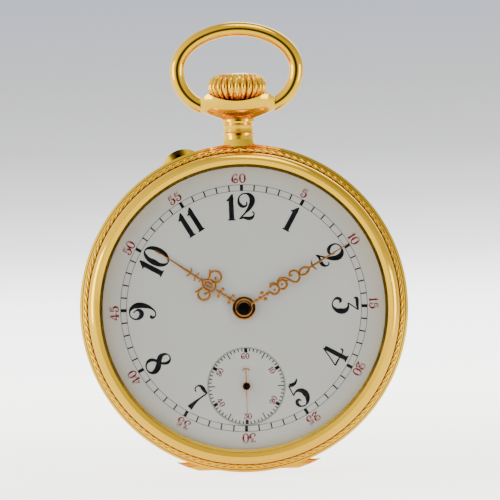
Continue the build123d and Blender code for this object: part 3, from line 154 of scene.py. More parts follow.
class CaseSizes(bpy.types.PropertyGroup):
    leaf_length: size("Leaf length", "Length of one engraved leaf on the band's shoulder", 1.3 * MM)
    leaf_width: size("Leaf width", "Width of one engraved leaf", 0.4 * MM)
    leaf_pitch: size("Leaf pitch", "Distance from leaf to leaf round the band", 1.12 * MM)
    # the mouth is drawn as a dark bead, partly the pusher's blackened end and partly painted shade
    mouth: size("Guard's mouth", "Width of the dark mouth in the front of the pin's guard", 0.8 * MM)
    leaf_relief: size("Leaf relief", "How far a leaf stands out of the shoulder", 0.11 * MM)
    crown_ribs: bpy.props.IntProperty(
        name="Crown ribs", description="Number of ribs round the crown", default=26, subtype="UNSIGNED"
    )


class FinishColours(bpy.types.PropertyGroup):
    gold: colour("Gold", "Polished 18 carat yellow gold", "FAC624")
    rose_gold: colour("Rose gold", "Polished rose gold of the hands", "C08544")
    gilt: colour("Gilt", "Frosted gilt brass of the movement", "DDB568")
    steel: colour("Steel", "Polished hardened steel", "B9BCC2")
    blued: colour("Blued steel", "Steel tempered blue", "24305E")
    enamel: colour("Enamel", "White fired enamel", "B9BAB5")
    black_paint: colour("Black paint", "Black numerals and marks", "0B0C12")
    red_paint: colour("Red paint", "Red minute numerals", "7C0819")
    ruby: colour("Ruby", "Jewels", "B3123A")
    floor: colour("Floor", "Pale floor", "ECECEC")


class StageSizes(bpy.types.PropertyGroup):
    distance: size("Camera distance", "From the watch to the camera", 0.62)
    view_width: size("View width", "Width seen at the watch", 73.95 * MM)
    aim_x: size("Aim right", "How far right of the hands' axis the camera aims", 1.14 * MM)
    aim_z: size("Aim up", "How far above the hands' axis the camera aims", 8.46 * MM)
    roll: bpy.props.FloatProperty(
        name="Roll", description="Camera roll, clockwise", default=radians(1.8), unit="ROTATION"
    )
    floor_size: size("Floor", "Side of the square floor", 12.0)


# ---- Materials ----
def add_node(tree, kind, inputs=None, links=None, **settings):
    """Add a node, with its settings, its socket values and its links from other nodes' outputs."""
    made = tree.nodes.new(kind)
    for key, value in settings.items():
        setattr(made, key, value)
    for socket, value in (inputs or {}).items():
        made.inputs[socket].default_value = value
    for socket, source in (links or {}).items():
        tree.links.new(source, made.inputs[socket])
    return made


def new_material(name):
    """An empty node material: its tree, its Object coordinates and its principled shader."""
    made = bpy.data.materials.new(name)
    made.use_nodes = True
    tree = made.node_tree
    tree.nodes.clear()
    place = add_node(tree, "ShaderNodeTexCoord").outputs["Object"]
    shader = add_node(tree, "ShaderNodeBsdfPrincipled")
    add_node(tree, "ShaderNodeOutputMaterial", links={"Surface": shader.outputs["BSDF"]})
    return made, tree, place, shader


def feed(tree, shader, **sources):
    """Link outputs to a shader's sockets, named with underscores for spaces."""
    for socket, source in sources.items():
        tree.links.new(source, shader.inputs[socket.replace("_", " ")])


def per_mm(millimetres):
    """Noise scale for a feature of a real size, on coordinates in metres."""
    return 1000.0 / millimetres


def between(low, high):
    """Socket values that spread the middle of a noise from low to high."""
    return {"From Min": 0.3, "From Max": 0.7, "To Min": low, "To Max": high}


def darker(rgba, share):
    """The same colour with a share of its light."""
    return tuple(c * share for c in rgba[:3]) + (1.0,)


def see_through(tree, shader, share):
    """Let a share of the light go straight through a material."""
    clear = add_node(tree, "ShaderNodeBsdfTransparent")
    mix = add_node(
        tree, "ShaderNodeMixShader", links={"Fac": share, 1: shader.outputs["BSDF"], 2: clear.outputs["BSDF"]}
    )
    output = next(node for node in tree.nodes if node.type == "OUTPUT_MATERIAL")
    tree.links.new(mix.outputs["Shader"], output.inputs["Surface"])


def polished_metal(name, base, low, high, wear_mm=2.5, depth_mm=0.0008):
    """Hand-polished metal: a mirror with faint wiping marks and slightly duller patches."""
    made, tree, place, shader = new_material(name)
    shader.inputs["Metallic"].default_value = 1.0
    wear = add_node(tree, "ShaderNodeTexNoise", {"Scale": per_mm(wear_mm), "Detail": 4.0}, {"Vector": place})
    worn = wear.outputs["Fac"]
    tone = add_node(tree, "ShaderNodeMix", {6: darker(base, 0.9), 7: base}, {0: worn}, data_type="RGBA")
    gloss = add_node(tree, "ShaderNodeMapRange", between(low, high), {"Value": worn})
    wiping = add_node(tree, "ShaderNodeTexNoise", {"Scale": per_mm(0.35)}, {"Vector": place})
    relief = add_node(tree, "ShaderNodeBump", {"Distance": depth_mm * MM}, {"Height": wiping.outputs["Fac"]})
    feed(
        tree, shader, Base_Color=tone.outputs[2], Roughness=gloss.outputs["Result"], Normal=relief.outputs["Normal"]
    )
    return made


def frosted_gilt(base):
    """Gilt brass, rubbed with wet stone powder before gilding: a fine even sparkle."""
    made, tree, place, shader = new_material("frosted_gilt_brass")
    shader.inputs["Metallic"].default_value = 1.0
    # the real grain is about 0.05 mm; it is drawn at 0.12 mm so that it still shows
    grain = add_node(tree, "ShaderNodeTexNoise", {"Scale": per_mm(0.12)}, {"Vector": place})
    sparkle = grain.outputs["Fac"]
    patches = add_node(tree, "ShaderNodeTexNoise", {"Scale": per_mm(3.0), "Detail": 3.0}, {"Vector": place})
    tone = add_node(tree, "ShaderNodeMix", {6: darker(base, 0.7), 7: base}, {0: sparkle}, data_type="RGBA")
    gloss = add_node(tree, "ShaderNodeMapRange", between(0.28, 0.42), {"Value": patches.outputs["Fac"]})
    relief = add_node(tree, "ShaderNodeBump", {"Distance": 0.006 * MM}, {"Height": sparkle})
    feed(
        tree, shader, Base_Color=tone.outputs[2], Roughness=gloss.outputs["Result"], Normal=relief.outputs["Normal"]
    )
    return made


def fired_enamel(base):
    """Enamel fired on copper: a glassy white with a soft orange-peel and faint grey clouds."""
    made, tree, place, shader = new_material("fired_white_enamel")
    clouds = add_node(tree, "ShaderNodeTexNoise", {"Scale": per_mm(14.0)}, {"Vector": place})
    patches = add_node(tree, "ShaderNodeTexNoise", {"Scale": per_mm(5.0), "Detail": 3.0}, {"Vector": place})
    peel = add_node(tree, "ShaderNodeTexNoise", {"Scale": per_mm(1.6), "Detail": 1.0}, {"Vector": place})
    tone = add_node(
        tree, "ShaderNodeMix", {6: darker(base, 0.93), 7: base}, {0: clouds.outputs["Fac"]}, data_type="RGBA"
    )
    gloss = add_node(tree, "ShaderNodeMapRange", between(0.16, 0.24), {"Value": patches.outputs["Fac"]})
    relief = add_node(tree, "ShaderNodeBump", {"Distance": 0.0012 * MM}, {"Height": peel.outputs["Fac"]})
    feed(
        tree, shader, Base_Color=tone.outputs[2], Roughness=gloss.outputs["Result"], Normal=relief.outputs["Normal"]
    )
    shader.inputs["Coat Weight"].default_value = 0.35
    return made


def fired_paint(name, base):
    """Enamel paint fired onto the dial: dense, slightly raised, with a dull gloss and a grainy edge."""
    made, tree, place, shader = new_material(name)
    grain = add_node(tree, "ShaderNodeTexNoise", {"Scale": per_mm(0.25), "Detail": 3.0}, {"Vector": place})
    dabs = grain.outputs["Fac"]
    tone = add_node(tree, "ShaderNodeMix", {6: darker(base, 0.6), 7: base}, {0: dabs}, data_type="RGBA")
    gloss = add_node(tree, "ShaderNodeMapRange", between(0.3, 0.45), {"Value": dabs})
    feed(tree, shader, Base_Color=tone.outputs[2], Roughness=gloss.outputs["Result"])
    shader.inputs["Specular IOR Level"].default_value = 0.15
    return made


def watch_glass():
    """Clear mineral glass, ground and polished: faint reflections, and the dial plain behind it."""
    made, tree, place, shader = new_material("mineral_glass")
    shader.inputs["Base Color"].default_value = linear("FAFCFB")
    shader.inputs["Transmission Weight"].default_value = 1.0
    patches = add_node(tree, "ShaderNodeTexNoise", {"Scale": per_mm(6.0), "Detail": 3.0}, {"Vector": place})
    gloss = add_node(tree, "ShaderNodeMapRange", {"To Max": 0.015}, {"Value": patches.outputs["Fac"]})
    feed(tree, shader, Roughness=gloss.outputs["Result"])
    path = add_node(tree, "ShaderNodeLightPath")
    straight = add_node(
        tree,
        "ShaderNodeMath",
        links={0: path.outputs["Is Shadow Ray"], 1: path.outputs["Is Diffuse Ray"]},
        operation="MAXIMUM",
    )
    share = add_node(tree, "ShaderNodeMapRange", {"To Min": 0.75}, {"Value": straight.outputs["Value"]})
    see_through(tree, shader, share.outputs["Result"])
    return made


def ruby_jewel(base):
    """Synthetic ruby, polished: deep red with bright small highlights."""
    made, tree, place, shader = new_material("synthetic_ruby")
    depth = add_node(tree, "ShaderNodeTexNoise", {"Scale": per_mm(0.4), "Detail": 3.0}, {"Vector": place})
    tone = add_node(
        tree, "ShaderNodeMix", {6: base, 7: darker(base, 0.5)}, {0: depth.outputs["Fac"]}, data_type="RGBA"
    )
    feed(tree, shader, Base_Color=tone.outputs[2])
    shader.inputs["Roughness"].default_value = 0.06
    shader.inputs["Coat Weight"].default_value = 1.0
    return made


def matt_floor(base):
    """Glowing matt paper sweep: very faint unevenness, no gloss; it melts into the studio air further out."""
    made, tree, place, shader = new_material("matt_paper")
    flecks = add_node(tree, "ShaderNodeTexNoise", {"Scale": per_mm(90.0), "Detail": 3.0}, {"Vector": place})
    tone = add_node(
        tree, "ShaderNodeMix", {6: darker(base, 0.97), 7: base}, {0: flecks.outputs["Fac"]}, data_type="RGBA"
    )
    seen = add_node(tree, "ShaderNodeLightPath").outputs["Is Camera Ray"]
    glow = add_node(tree, "ShaderNodeMapRange", {"To Min": 0.8, "To Max": 3.0}, {"Value": seen})
    reach = add_node(tree, "ShaderNodeVectorMath", links={0: place}, operation="LENGTH")
    melt = add_node(
        tree, "ShaderNodeMapRange", {"From Min": 0.06, "From Max": 0.4}, {"Value": reach.outputs["Value"]}
    )
    feed(tree, shader, Base_Color=tone.outputs[2], Emission_Strength=glow.outputs["Result"])
    shader.inputs["Roughness"].default_value = 0.9
    shader.inputs["Emission Color"].default_value = linear("FFFEFA")
    see_through(tree, shader, melt.outputs["Result"])
    return made


made_finishes = {}


def finishes():
    """All materials by finish, made once."""
    if not made_finishes:
        tint = bpy.context.scene.watch_colours
        for made in (
            polished_metal("polished_yellow_gold", tuple(tint.gold), 0.07, 0.15),
            polished_metal("engraved_yellow_gold", tuple(tint.gold), 0.14, 0.24, 1.2, 0.004),
            polished_metal("polished_rose_gold", tuple(tint.rose_gold), 0.16, 0.28, 0.8, 0.002),
            polished_metal("mirror_rose_gold", tuple(tint.rose_gold), 0.03, 0.06),
            polished_metal("polished_hard_steel", tuple(tint.steel), 0.1, 0.2),
            polished_metal("tempered_blue_steel", tuple(tint.blued), 0.15, 0.25),
            frosted_gilt(tuple(tint.gilt)),
            fired_enamel(tuple(tint.enamel)),
            fired_paint("fired_black_paint", tuple(tint.black_paint)),
            fired_paint("fired_red_paint", tuple(tint.red_paint)),
            fired_paint("fired_grey_line", linear("4A4C4E")),
            # greenish grey of the painted shadow ring at the step of the sunk seconds dial
            fired_paint("painted_sink_step_shadow", linear("A9AA8C")),
            polished_metal("blackened_steel", linear("101012"), 0.25, 0.4),
            # dark brown of the painted shadow lines beside the laurel, which stand for the shade in the grooves
            polished_metal("painted_groove_shadow", linear("6A4312"), 0.4, 0.6, 0.6, 0.004),
            watch_glass(),
            ruby_jewel(tuple(tint.ruby)),
            matt_floor(tuple(tint.floor)),
        ):
            made_finishes[made.name] = made
    return made_finishes


SLOT_FINISH = {
    "polished_gold": "polished_yellow_gold",
    "engraved_gold": "polished_yellow_gold",
    "gilt_brass": "frosted_gilt_brass",
    "rose_gold": "polished_rose_gold",
    "white_enamel": "fired_white_enamel",
    "watch_glass": "mineral_glass",
    "polished_steel": "polished_hard_steel",
    "blued_steel": "tempered_blue_steel",
    "ruby": "synthetic_ruby",
}

# nodes whose finish differs from their slot's
NODE_FINISH = {"set_pusher": "blackened_steel"}


# ---- Shared modelling steps ----
def deselect():
    """Leave object mode with nothing selected."""
    if bpy.context.object and bpy.context.object.mode != "OBJECT":
        bpy.ops.object.mode_set(mode="OBJECT")
    bpy.ops.object.select_all(action="DESELECT")


def named(name, material, body):
    """Name the active object, put its place into its mesh, and give it its finish and its body."""
    made = bpy.context.object
    made.name = name
    made.data.name = name
    bpy.ops.object.transform_apply(location=True, rotation=True, scale=True)
    made.data.materials.clear()
    made.data.materials.append(finishes()[material])
    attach(made, body)
    return made


def join(pieces):
    """Join pieces into the first one."""
    deselect()
    for piece in pieces:
        piece.select_set(True)
    bpy.context.view_layer.objects.active = pieces[0]
    if len(pieces) > 1:
        bpy.ops.object.join()
    return pieces[0]


def edit_all():
    """Go into edit mode with everything selected."""
    bpy.ops.object.mode_set(mode="EDIT")
    bpy.ops.mesh.select_all(action="SELECT")


def turn(angle, centre, axis="Y"):
    """In edit mode, turn the selection about an axis through a place."""
    bpy.ops.transform.rotate(
        value=angle, orient_axis=axis, orient_type="GLOBAL", center_override=centre
    )


def ring_copies(count, centre=(0.0, 0.0, 0.0), step=None, axis="Y"):
    """In edit mode, copy the selection round an axis through the centre."""
    for _ in range(count - 1):
        bpy.ops.mesh.duplicate()
        turn(step or 2 * pi / count, centre, axis)


def round_wires(strokes, front, thickness):
    """One flat piece from strokes of varying width.

    A stroke is (points, closed); a point is (x, z, half width) in metres. Each stroke becomes a tube
    through its points, pressed flat to a thickness about the height `front`.
    """
    deselect()
    data = bpy.data.curves.new("strokes", "CURVE")
    data.dimensions = "3D"
    data.bevel_depth = 1.0
    data.bevel_resolution = 2
    data.resolution_u = 8
    data.use_fill_caps = True
    for points, closed in strokes:
        spline = data.splines.new("BEZIER")
        spline.bezier_points.add(len(points) - 1)
        spline.use_cyclic_u = closed
        for knot, (x, z, half) in zip(spline.bezier_points, points):
            knot.co = (x, 0.0, z)
            knot.radius = half
            knot.handle_left_type = knot.handle_right_type = "AUTO"
    made = bpy.data.objects.new("strokes", data)
    bpy.context.collection.objects.link(made)
    made.select_set(True)
    bpy.context.view_layer.objects.active = made
    bpy.ops.object.convert(target="MESH")
    made = bpy.context.object
    widest = max(half for points, closed in strokes for x, z, half in points)
    edit_all()
    bpy.ops.transform.resize(value=(1, thickness / (2 * widest), 1), center_override=(0, 0, 0))
    bpy.ops.transform.translate(value=(0, front, 0))
    bpy.ops.mesh.normals_make_consistent(inside=False)
    bpy.ops.object.mode_set(mode="OBJECT")
    bpy.ops.object.shade_smooth()
    return made


def flat_ring(radius, width, front, thickness, centre=(0.0, 0.0), segments=256):
    """Thin flat ring parallel to the dial."""
    deselect()
    bpy.ops.mesh.primitive_torus_add(
        location=(centre[0], front, centre[1]),
        rotation=(pi / 2, 0, 0),
        major_segments=segments,
        minor_segments=8,
        major_radius=radius,
        minor_radius=width / 2,
    )
    bpy.ops.object.transform_apply(location=False, rotation=True, scale=False)
    made = bpy.context.object
    made.scale = (1, thickness / width, 1)
    bpy.ops.object.transform_apply(location=True, rotation=True, scale=True)
    bpy.ops.object.shade_smooth()
    return made


def radial_marks(count, inner, outer, width, front, thickness, centre=(0.0, 0.0), skip=None, first=0.0):
    """Rounded marks round a circle, made once and copied; every skip-th place is left out."""
    deselect()
    length = outer - inner
    bpy.ops.mesh.primitive_cube_add(
        size=1, location=(centre[0], front, centre[1] + inner + length / 2), scale=(width, thickness, length)
    )
    bpy.ops.object.transform_apply(location=True, rotation=True, scale=True)
    edit_all()
    bpy.ops.mesh.bevel(offset=thickness * 0.3, segments=1)
    bpy.ops.mesh.select_all(action="SELECT")
    pivot = (centre[0], 0.0, centre[1])
    start = first + bpy.context.scene.watch_dial.turn
    turn(start, pivot)
    if skip is None:
        ring_copies(count, pivot)
    else:
        # one group of marks between two left-out places, then that group round the circle
        step = 2 * pi / count
        turn(step, pivot)
        for _ in range(skip - 2):
            bpy.ops.mesh.duplicate()
            turn(step, pivot)
        bpy.ops.mesh.select_all(action="SELECT")
        ring_copies(count // skip, pivot)
    bpy.ops.object.mode_set(mode="OBJECT")
    return bpy.context.object


def grow(centre, steps):
    """Extrude the active disc upwards, step by step, each with its scale and its rise; close both ends."""
    edit_all()
    for scale, rise in steps:
        bpy.ops.mesh.extrude_region_move(TRANSFORM_OT_translate={"value": (0, 0, rise)})
        bpy.ops.transform.resize(value=(scale, scale, 1), center_override=(centre[0], centre[1], 0))
    bpy.ops.mesh.select_all(action="SELECT")
    bpy.ops.mesh.normals_make_consistent(inside=False)
    bpy.ops.object.mode_set(mode="OBJECT")


def turned_ring(hole, radius, back, front, rounding, x=0.0, z=0.0):
    """Turned washer about an axis parallel to Y, from its back to its front, with rounded edges."""
    deselect()
    middle = (x + (hole + radius) / 2, (back + front) / 2, z)
    bpy.ops.mesh.primitive_plane_add(size=1, location=middle)
    edit_all()
    bpy.ops.transform.resize(value=(radius - hole, abs(back - front), 1), center_override=middle)
    bpy.ops.mesh.bevel(offset=rounding, segments=3, affect="VERTICES")
    bpy.ops.mesh.select_all(action="SELECT")
    bpy.ops.mesh.delete(type="ONLY_FACE")
    bpy.ops.mesh.select_all(action="SELECT")
    bpy.ops.mesh.spin(steps=96, angle=2 * pi, center=(x, 0, z), axis=(0, 1, 0))
    bpy.ops.mesh.select_all(action="SELECT")
    bpy.ops.mesh.remove_doubles(threshold=1e-7)
    bpy.ops.mesh.normals_make_consistent(inside=False)
    bpy.ops.object.mode_set(mode="OBJECT")
    bpy.ops.object.shade_smooth_by_angle(angle=radians(35))
    return bpy.context.object


def ball(x, z, radius, front, thickness):
    """Small flattened bead."""
    deselect()
    bpy.ops.mesh.primitive_uv_sphere_add(
        segments=20, ring_count=12, radius=1, location=(x, front, z), scale=(radius, thickness / 2, radius)
    )
    bpy.ops.object.transform_apply(location=True, rotation=True, scale=True)
    bpy.ops.object.shade_smooth()
    return bpy.context.object


# ---- Numerals: strokes in shares of the numeral's height, x from its middle, z from its foot ----
NUMERALS = {
    "0": (0.56, [([
        (0, 0.99, 0.018), (-0.18, 0.85, 0.05), (-0.24, 0.5, 0.085), (-0.18, 0.15, 0.05),
        (0, 0.01, 0.018), (0.18, 0.15, 0.05), (0.24, 0.5, 0.085), (0.18, 0.85, 0.05),
    ], True)]),
    "1": (0.34, [
        ([(0.03, 0.03, 0.075), (0.03, 0.5, 0.072), (0.04, 0.84, 0.07), (0.09, 0.99, 0.01)], False),
        ([(0.09, 0.99, 0.01), (0.0, 0.83, 0.045), (-0.14, 0.74, 0.01)], False),
        ([(-0.11, 0.01, 0.012), (0.03, 0.03, 0.035), (0.17, 0.01, 0.012)], False),
    ]),
    "2": (0.64, [
        ([
            (0.07, 0.68, 0.012), (0.06, 0.56, 0.022), (-0.05, 0.5, 0.04), (-0.18, 0.57, 0.052),
            (-0.24, 0.74, 0.03), (-0.16, 0.93, 0.016), (0.04, 0.99, 0.02), (0.22, 0.9, 0.062),
            (0.28, 0.73, 0.085), (0.2, 0.5, 0.066), (0.0, 0.26, 0.026), (-0.22, 0.05, 0.012),
        ], False),
        ([
            (-0.24, 0.03, 0.012), (-0.08, 0.08, 0.03), (0.1, 0.045, 0.055), (0.22, 0.06, 0.05),
            (0.32, 0.16, 0.022), (0.31, 0.27, 0.012), (0.24, 0.28, 0.012),
        ], False),
    ]),
    "3": (0.58, [
        ([
            (-0.22, 0.82, 0.01), (-0.2, 0.93, 0.045), (-0.1, 0.945, 0.05), (0.08, 0.95, 0.04),
            (0.24, 0.98, 0.012),
        ], False),
        ([(0.24, 0.98, 0.012), (0.1, 0.79, 0.014), (-0.04, 0.6, 0.014)], False),
        ([
            (-0.04, 0.6, 0.012), (0.11, 0.6, 0.03), (0.24, 0.49, 0.07), (0.26, 0.3, 0.085),
            (0.17, 0.09, 0.045), (0.0, 0.0, 0.016), (-0.17, 0.07, 0.02), (-0.23, 0.21, 0.045),
            (-0.14, 0.32, 0.045), (-0.05, 0.27, 0.015),
        ], False),
    ]),
    "4": (0.66, [
        ([(0.1, 0.03, 0.062), (0.1, 0.5, 0.066), (0.1, 0.95, 0.06)], False),
        ([(0.06, 1.0, 0.012), (-0.12, 0.64, 0.014), (-0.32, 0.28, 0.014)], False),
        ([
            (-0.32, 0.27, 0.022), (-0.2, 0.28, 0.028), (0.05, 0.27, 0.012), (0.26, 0.27, 0.014),
            (0.32, 0.3, 0.03), (0.34, 0.4, 0.014),
        ], False),
        ([(-0.03, 0.01, 0.012), (0.1, 0.03, 0.035), (0.24, 0.01, 0.012)], False),
    ]),
    "5": (0.56, [
        ([(-0.12, 0.95, 0.055), (0.02, 0.91, 0.055), (0.15, 0.93, 0.035), (0.25, 1.03, 0.01)], False),
        ([(-0.15, 0.97, 0.016), (-0.17, 0.75, 0.013), (-0.19, 0.54, 0.013)], False),
        ([
            (-0.19, 0.54, 0.012), (-0.05, 0.62, 0.025), (0.13, 0.58, 0.062), (0.24, 0.38, 0.088),
            (0.19, 0.14, 0.06), (0.03, 0.01, 0.02), (-0.14, 0.04, 0.022), (-0.23, 0.16, 0.045),
            (-0.19, 0.29, 0.05), (-0.09, 0.3, 0.03), (-0.05, 0.22, 0.012),
        ], False),
    ]),
    "7": (0.56, [
        ([(-0.08, 0.04, 0.085), (-0.01, 0.28, 0.05), (0.09, 0.52, 0.025), (0.25, 0.83, 0.008)], False),
        ([
            (0.26, 0.85, 0.01), (0.17, 0.86, 0.045), (0.03, 0.93, 0.06), (-0.1, 0.97, 0.04),
            (-0.21, 0.9, 0.018), (-0.22, 0.77, 0.012), (-0.14, 0.69, 0.01),
        ], False),
    ]),
    "8": (0.56, [([
        (0.0, 0.53, 0.07), (-0.13, 0.66, 0.075), (-0.16, 0.82, 0.045), (-0.06, 0.97, 0.018),
        (0.1, 0.97, 0.02), (0.19, 0.83, 0.045), (0.14, 0.66, 0.04), (0.0, 0.53, 0.03),
        (-0.15, 0.43, 0.045), (-0.24, 0.27, 0.05), (-0.18, 0.08, 0.025), (0.0, 0.0, 0.016),
        (0.18, 0.06, 0.035), (0.22, 0.24, 0.075), (0.14, 0.4, 0.085),
    ], True)]),
    "9": (0.6, [([
        (-0.01, 0.84, 0.01), (0.07, 0.76, 0.014), (0.09, 0.64, 0.045), (-0.02, 0.54, 0.07),
        (-0.16, 0.58, 0.06), (-0.25, 0.74, 0.024), (-0.18, 0.92, 0.014), (0.0, 0.99, 0.018),
        (0.18, 0.9, 0.05), (0.27, 0.68, 0.085), (0.25, 0.42, 0.075), (0.13, 0.14, 0.028),
        (-0.03, 0.01, 0.014), (-0.17, 0.04, 0.02), (-0.2, 0.16, 0.05), (-0.12, 0.2, 0.028),
    ], False)]),
}
NUMERALS["6"] = (
    0.6,
    [([(-x, 1 - z, half) for x, z, half in points], closed) for points, closed in NUMERALS["9"][1]],
)


def numeral_strokes(
    text, clock_angle, radius, height, top_out, centre=(0.0, 0.0), thin=0.024, bold=1.0, wide=1.0
):
    """Strokes of a number on a circle, its top outwards or inwards.

    thin is the least half width of a stroke, and wide stretches the digits sideways.
    """
    weight = bpy.context.scene.watch_dial.weight * bold
    widths = [NUMERALS[digit][0] for digit in text]
    gap = 0.02 + 1.8 * thin
    cursor = -(sum(widths) + gap * (len(text) - 1)) / 2
    facing = 1 if top_out else -1
    up = Vector((sin(clock_angle), cos(clock_angle))) * facing
    right = Vector((cos(clock_angle), -sin(clock_angle))) * facing
    middle = Vector(centre) + Vector((sin(clock_angle), cos(clock_angle))) * radius
    strokes = []
    for digit, width in zip(text, widths):
        cursor += width / 2
        for points, closed in NUMERALS[digit][1]:
            placed = []
            for x, z, half in points:
                place = middle + right * (cursor + x) * height * wide + up * (z - 0.5) * height
                placed.append((place.x, place.y, max(half * weight, thin) * height))
            strokes.append((placed, closed))
        cursor += width / 2 + gap
    return strokes


def clock(minutes):
    """Clock angle of a minute on the printed dial, in radians."""
    return radians(minutes * 6) + bpy.context.scene.watch_dial.turn


# ---- Operators ----
class WATCH_OT_finish_frame(bpy.types.Operator):
    """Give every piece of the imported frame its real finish"""

    bl_idname = "watch.finish_frame"
    bl_label = "Finish case and movement"

    def execute(self, context):
        slots = {part["node"]: part["material_slot"] for part in frame["record"]["subparts"]}
        for name, piece in frame["nodes"].items():
            piece.data.materials.clear()
            piece.data.materials.append(finishes()[NODE_FINISH.get(name) or SLOT_FINISH[slots[name]]])
        return {"FINISHED"}


class WATCH_OT_print_track(bpy.types.Operator):
    """Print the minute track: two lines, a mark at each minute and a thick one at each five"""

    bl_idname = "watch.print_track"
    bl_label = "Print minute track"

    def execute(self, context):
        dial = context.scene.watch_dial
        lines = [
            flat_ring(radius, dial.track_line, DIAL_FRONT, dial.paint)
            for radius in (dial.track_outer, dial.track_inner)
        ]
        join(lines)
        named("minute_track_lines", "fired_grey_line", "case")
        inner, outer = dial.track_inner, dial.track_outer
        radial_marks(60, inner, outer, dial.minute_tick, DIAL_FRONT, 2 * dial.paint, skip=5)
        named("minute_marks", "fired_black_paint", "case")
        radial_marks(12, inner, outer, dial.five_tick, DIAL_FRONT, 2.2 * dial.paint)
        named("five_minute_marks", "fired_black_paint", "case")
        return {"FINISHED"}


class WATCH_OT_print_numerals(bpy.types.Operator):
    """Print the black hour numerals and the red minute numerals"""

    bl_idname = "watch.print_numerals"
    bl_label = "Print numerals"

    def execute(self, context):
        dial = context.scene.watch_dial
        strokes = []
        for hour in (1, 2, 3, 4, 5, 7, 8, 9, 10, 11, 12):
            top_out = hour not in (4, 5, 7, 8)
            strokes += numeral_strokes(str(hour), clock(hour * 5), dial.hour_radius, dial.hour_height, top_out)
        round_wires(strokes, DIAL_FRONT, 4 * dial.paint)
        named("hour_numerals", "fired_black_paint", "case")
        strokes = []
        for minutes in range(5, 61, 5):
            strokes += numeral_strokes(
                str(minutes),
                clock(minutes),
                dial.minute_radius,
                dial.minute_height,
                True,
                thin=0.062,
                bold=1.15,
                wide=1.2,
            )
        round_wires(strokes, DIAL_FRONT, 4 * dial.paint)
        named("minute_numerals", "fired_red_paint", "case")
        return {"FINISHED"}


class WATCH_OT_print_seconds(bpy.types.Operator):
    """Print the small seconds: its marks and its red numerals"""

    bl_idname = "watch.print_seconds"
    bl_label = "Print small seconds"

    def execute(self, context):
        dial = context.scene.watch_dial
        centre = (SECONDS_X, SECONDS_Z)
        outer = dial.seconds_outer
        front = SECONDS_FRONT
        fine = [
            radial_marks(60, outer - 0.42 * MM, outer, 0.15 * MM, front, 2 * dial.paint, centre, skip=5),
            radial_marks(6, outer - 0.95 * MM, outer, 0.15 * MM, front, 2 * dial.paint, centre, first=radians(30)),
        ]
        join(fine)
        named("second_marks", "fired_black_paint", "case")
        radial_marks(6, outer - 0.62 * MM, outer, 0.46 * MM, front, 2.2 * dial.paint, centre)
        named("ten_second_marks", "fired_black_paint", "case")
        flat_ring(outer + 0.02 * MM, 0.07 * MM, front, dial.paint, centre)
        named("seconds_track_line", "fired_grey_line", "case")
        # painted shadow: a thin greenish grey ring for the shade at the step of the sunk seconds dial
        flat_ring(outer + 0.18 * MM, 0.12 * MM, front, 3 * dial.paint, centre)
        named("seconds_sink_painted_shadow", "painted_sink_step_shadow", "case")
        strokes = []
        for seconds in (10, 20, 30, 40, 50, 60):
            top_out = seconds in (10, 50, 60)
            strokes += numeral_strokes(
                str(seconds),
                clock(seconds),
                dial.seconds_radius,
                dial.seconds_height,
                top_out,
                centre,
                thin=0.07,
                bold=1.1,
                wide=1.1,
            )
        round_wires(strokes, front, 4 * dial.paint)
        named("seconds_numerals", "fired_red_paint", "case")
        return {"FINISHED"}


def along_hand(clock_angle, items):
    """Strokes from hand coordinates (distance out, offset to the left of the tip, half width), in mm."""
    out = Vector((sin(clock_angle), cos(clock_angle)))
    left = Vector((-cos(clock_angle), sin(clock_angle)))
    strokes = []
    for points, closed in items:
        placed = []
        for distance, offset, half in points:
            place = (out * distance + left * offset) * MM
            placed.append((place.x, place.y, half * MM))
        strokes.append((placed, closed))
    return strokes


def hoop(distance, offset, radius, half, start=0.0, turn=2 * pi, count=8):
    """A ring or a part of one, as a stroke in hand coordinates."""
    closed = abs(turn) >= 2 * pi - 0.01
    steps = count if closed else count - 1
    points = []
    for step in range(count):
        angle = start + turn * step / steps
        points.append((distance + radius * cos(angle), offset + radius * sin(angle), half))
    return points, closed


def bead(distance, offset, radius):
    """A round bead: a short stroke that swells from nothing to its radius and back."""
    swell = ((-1.0, 0.1), (-0.75, 0.66), (0.0, 1.0), (0.75, 0.66), (1.0, 0.1))
    return [(distance + out * radius, offset, share * radius) for out, share in swell], False


def barb(distance, reach, half, sweep=0.5):
    """Two thorns that leave the hand's axis to both sides and lean to the tip."""
    return [
        ([(distance, 0, half), (distance + 0.3 * sweep, side * reach * 0.5, half * 0.9),
          (distance + sweep, side * reach, half * 0.45)], False)
        for side in (-1, 1)
    ]


def both_sides(*strokes):
    """Strokes in hand coordinates and their mirror images across the hand's axis."""
    mirrored = [([(out, -offset, half) for out, offset, half in points], closed) for points, closed in strokes]
    return [*strokes, *mirrored]


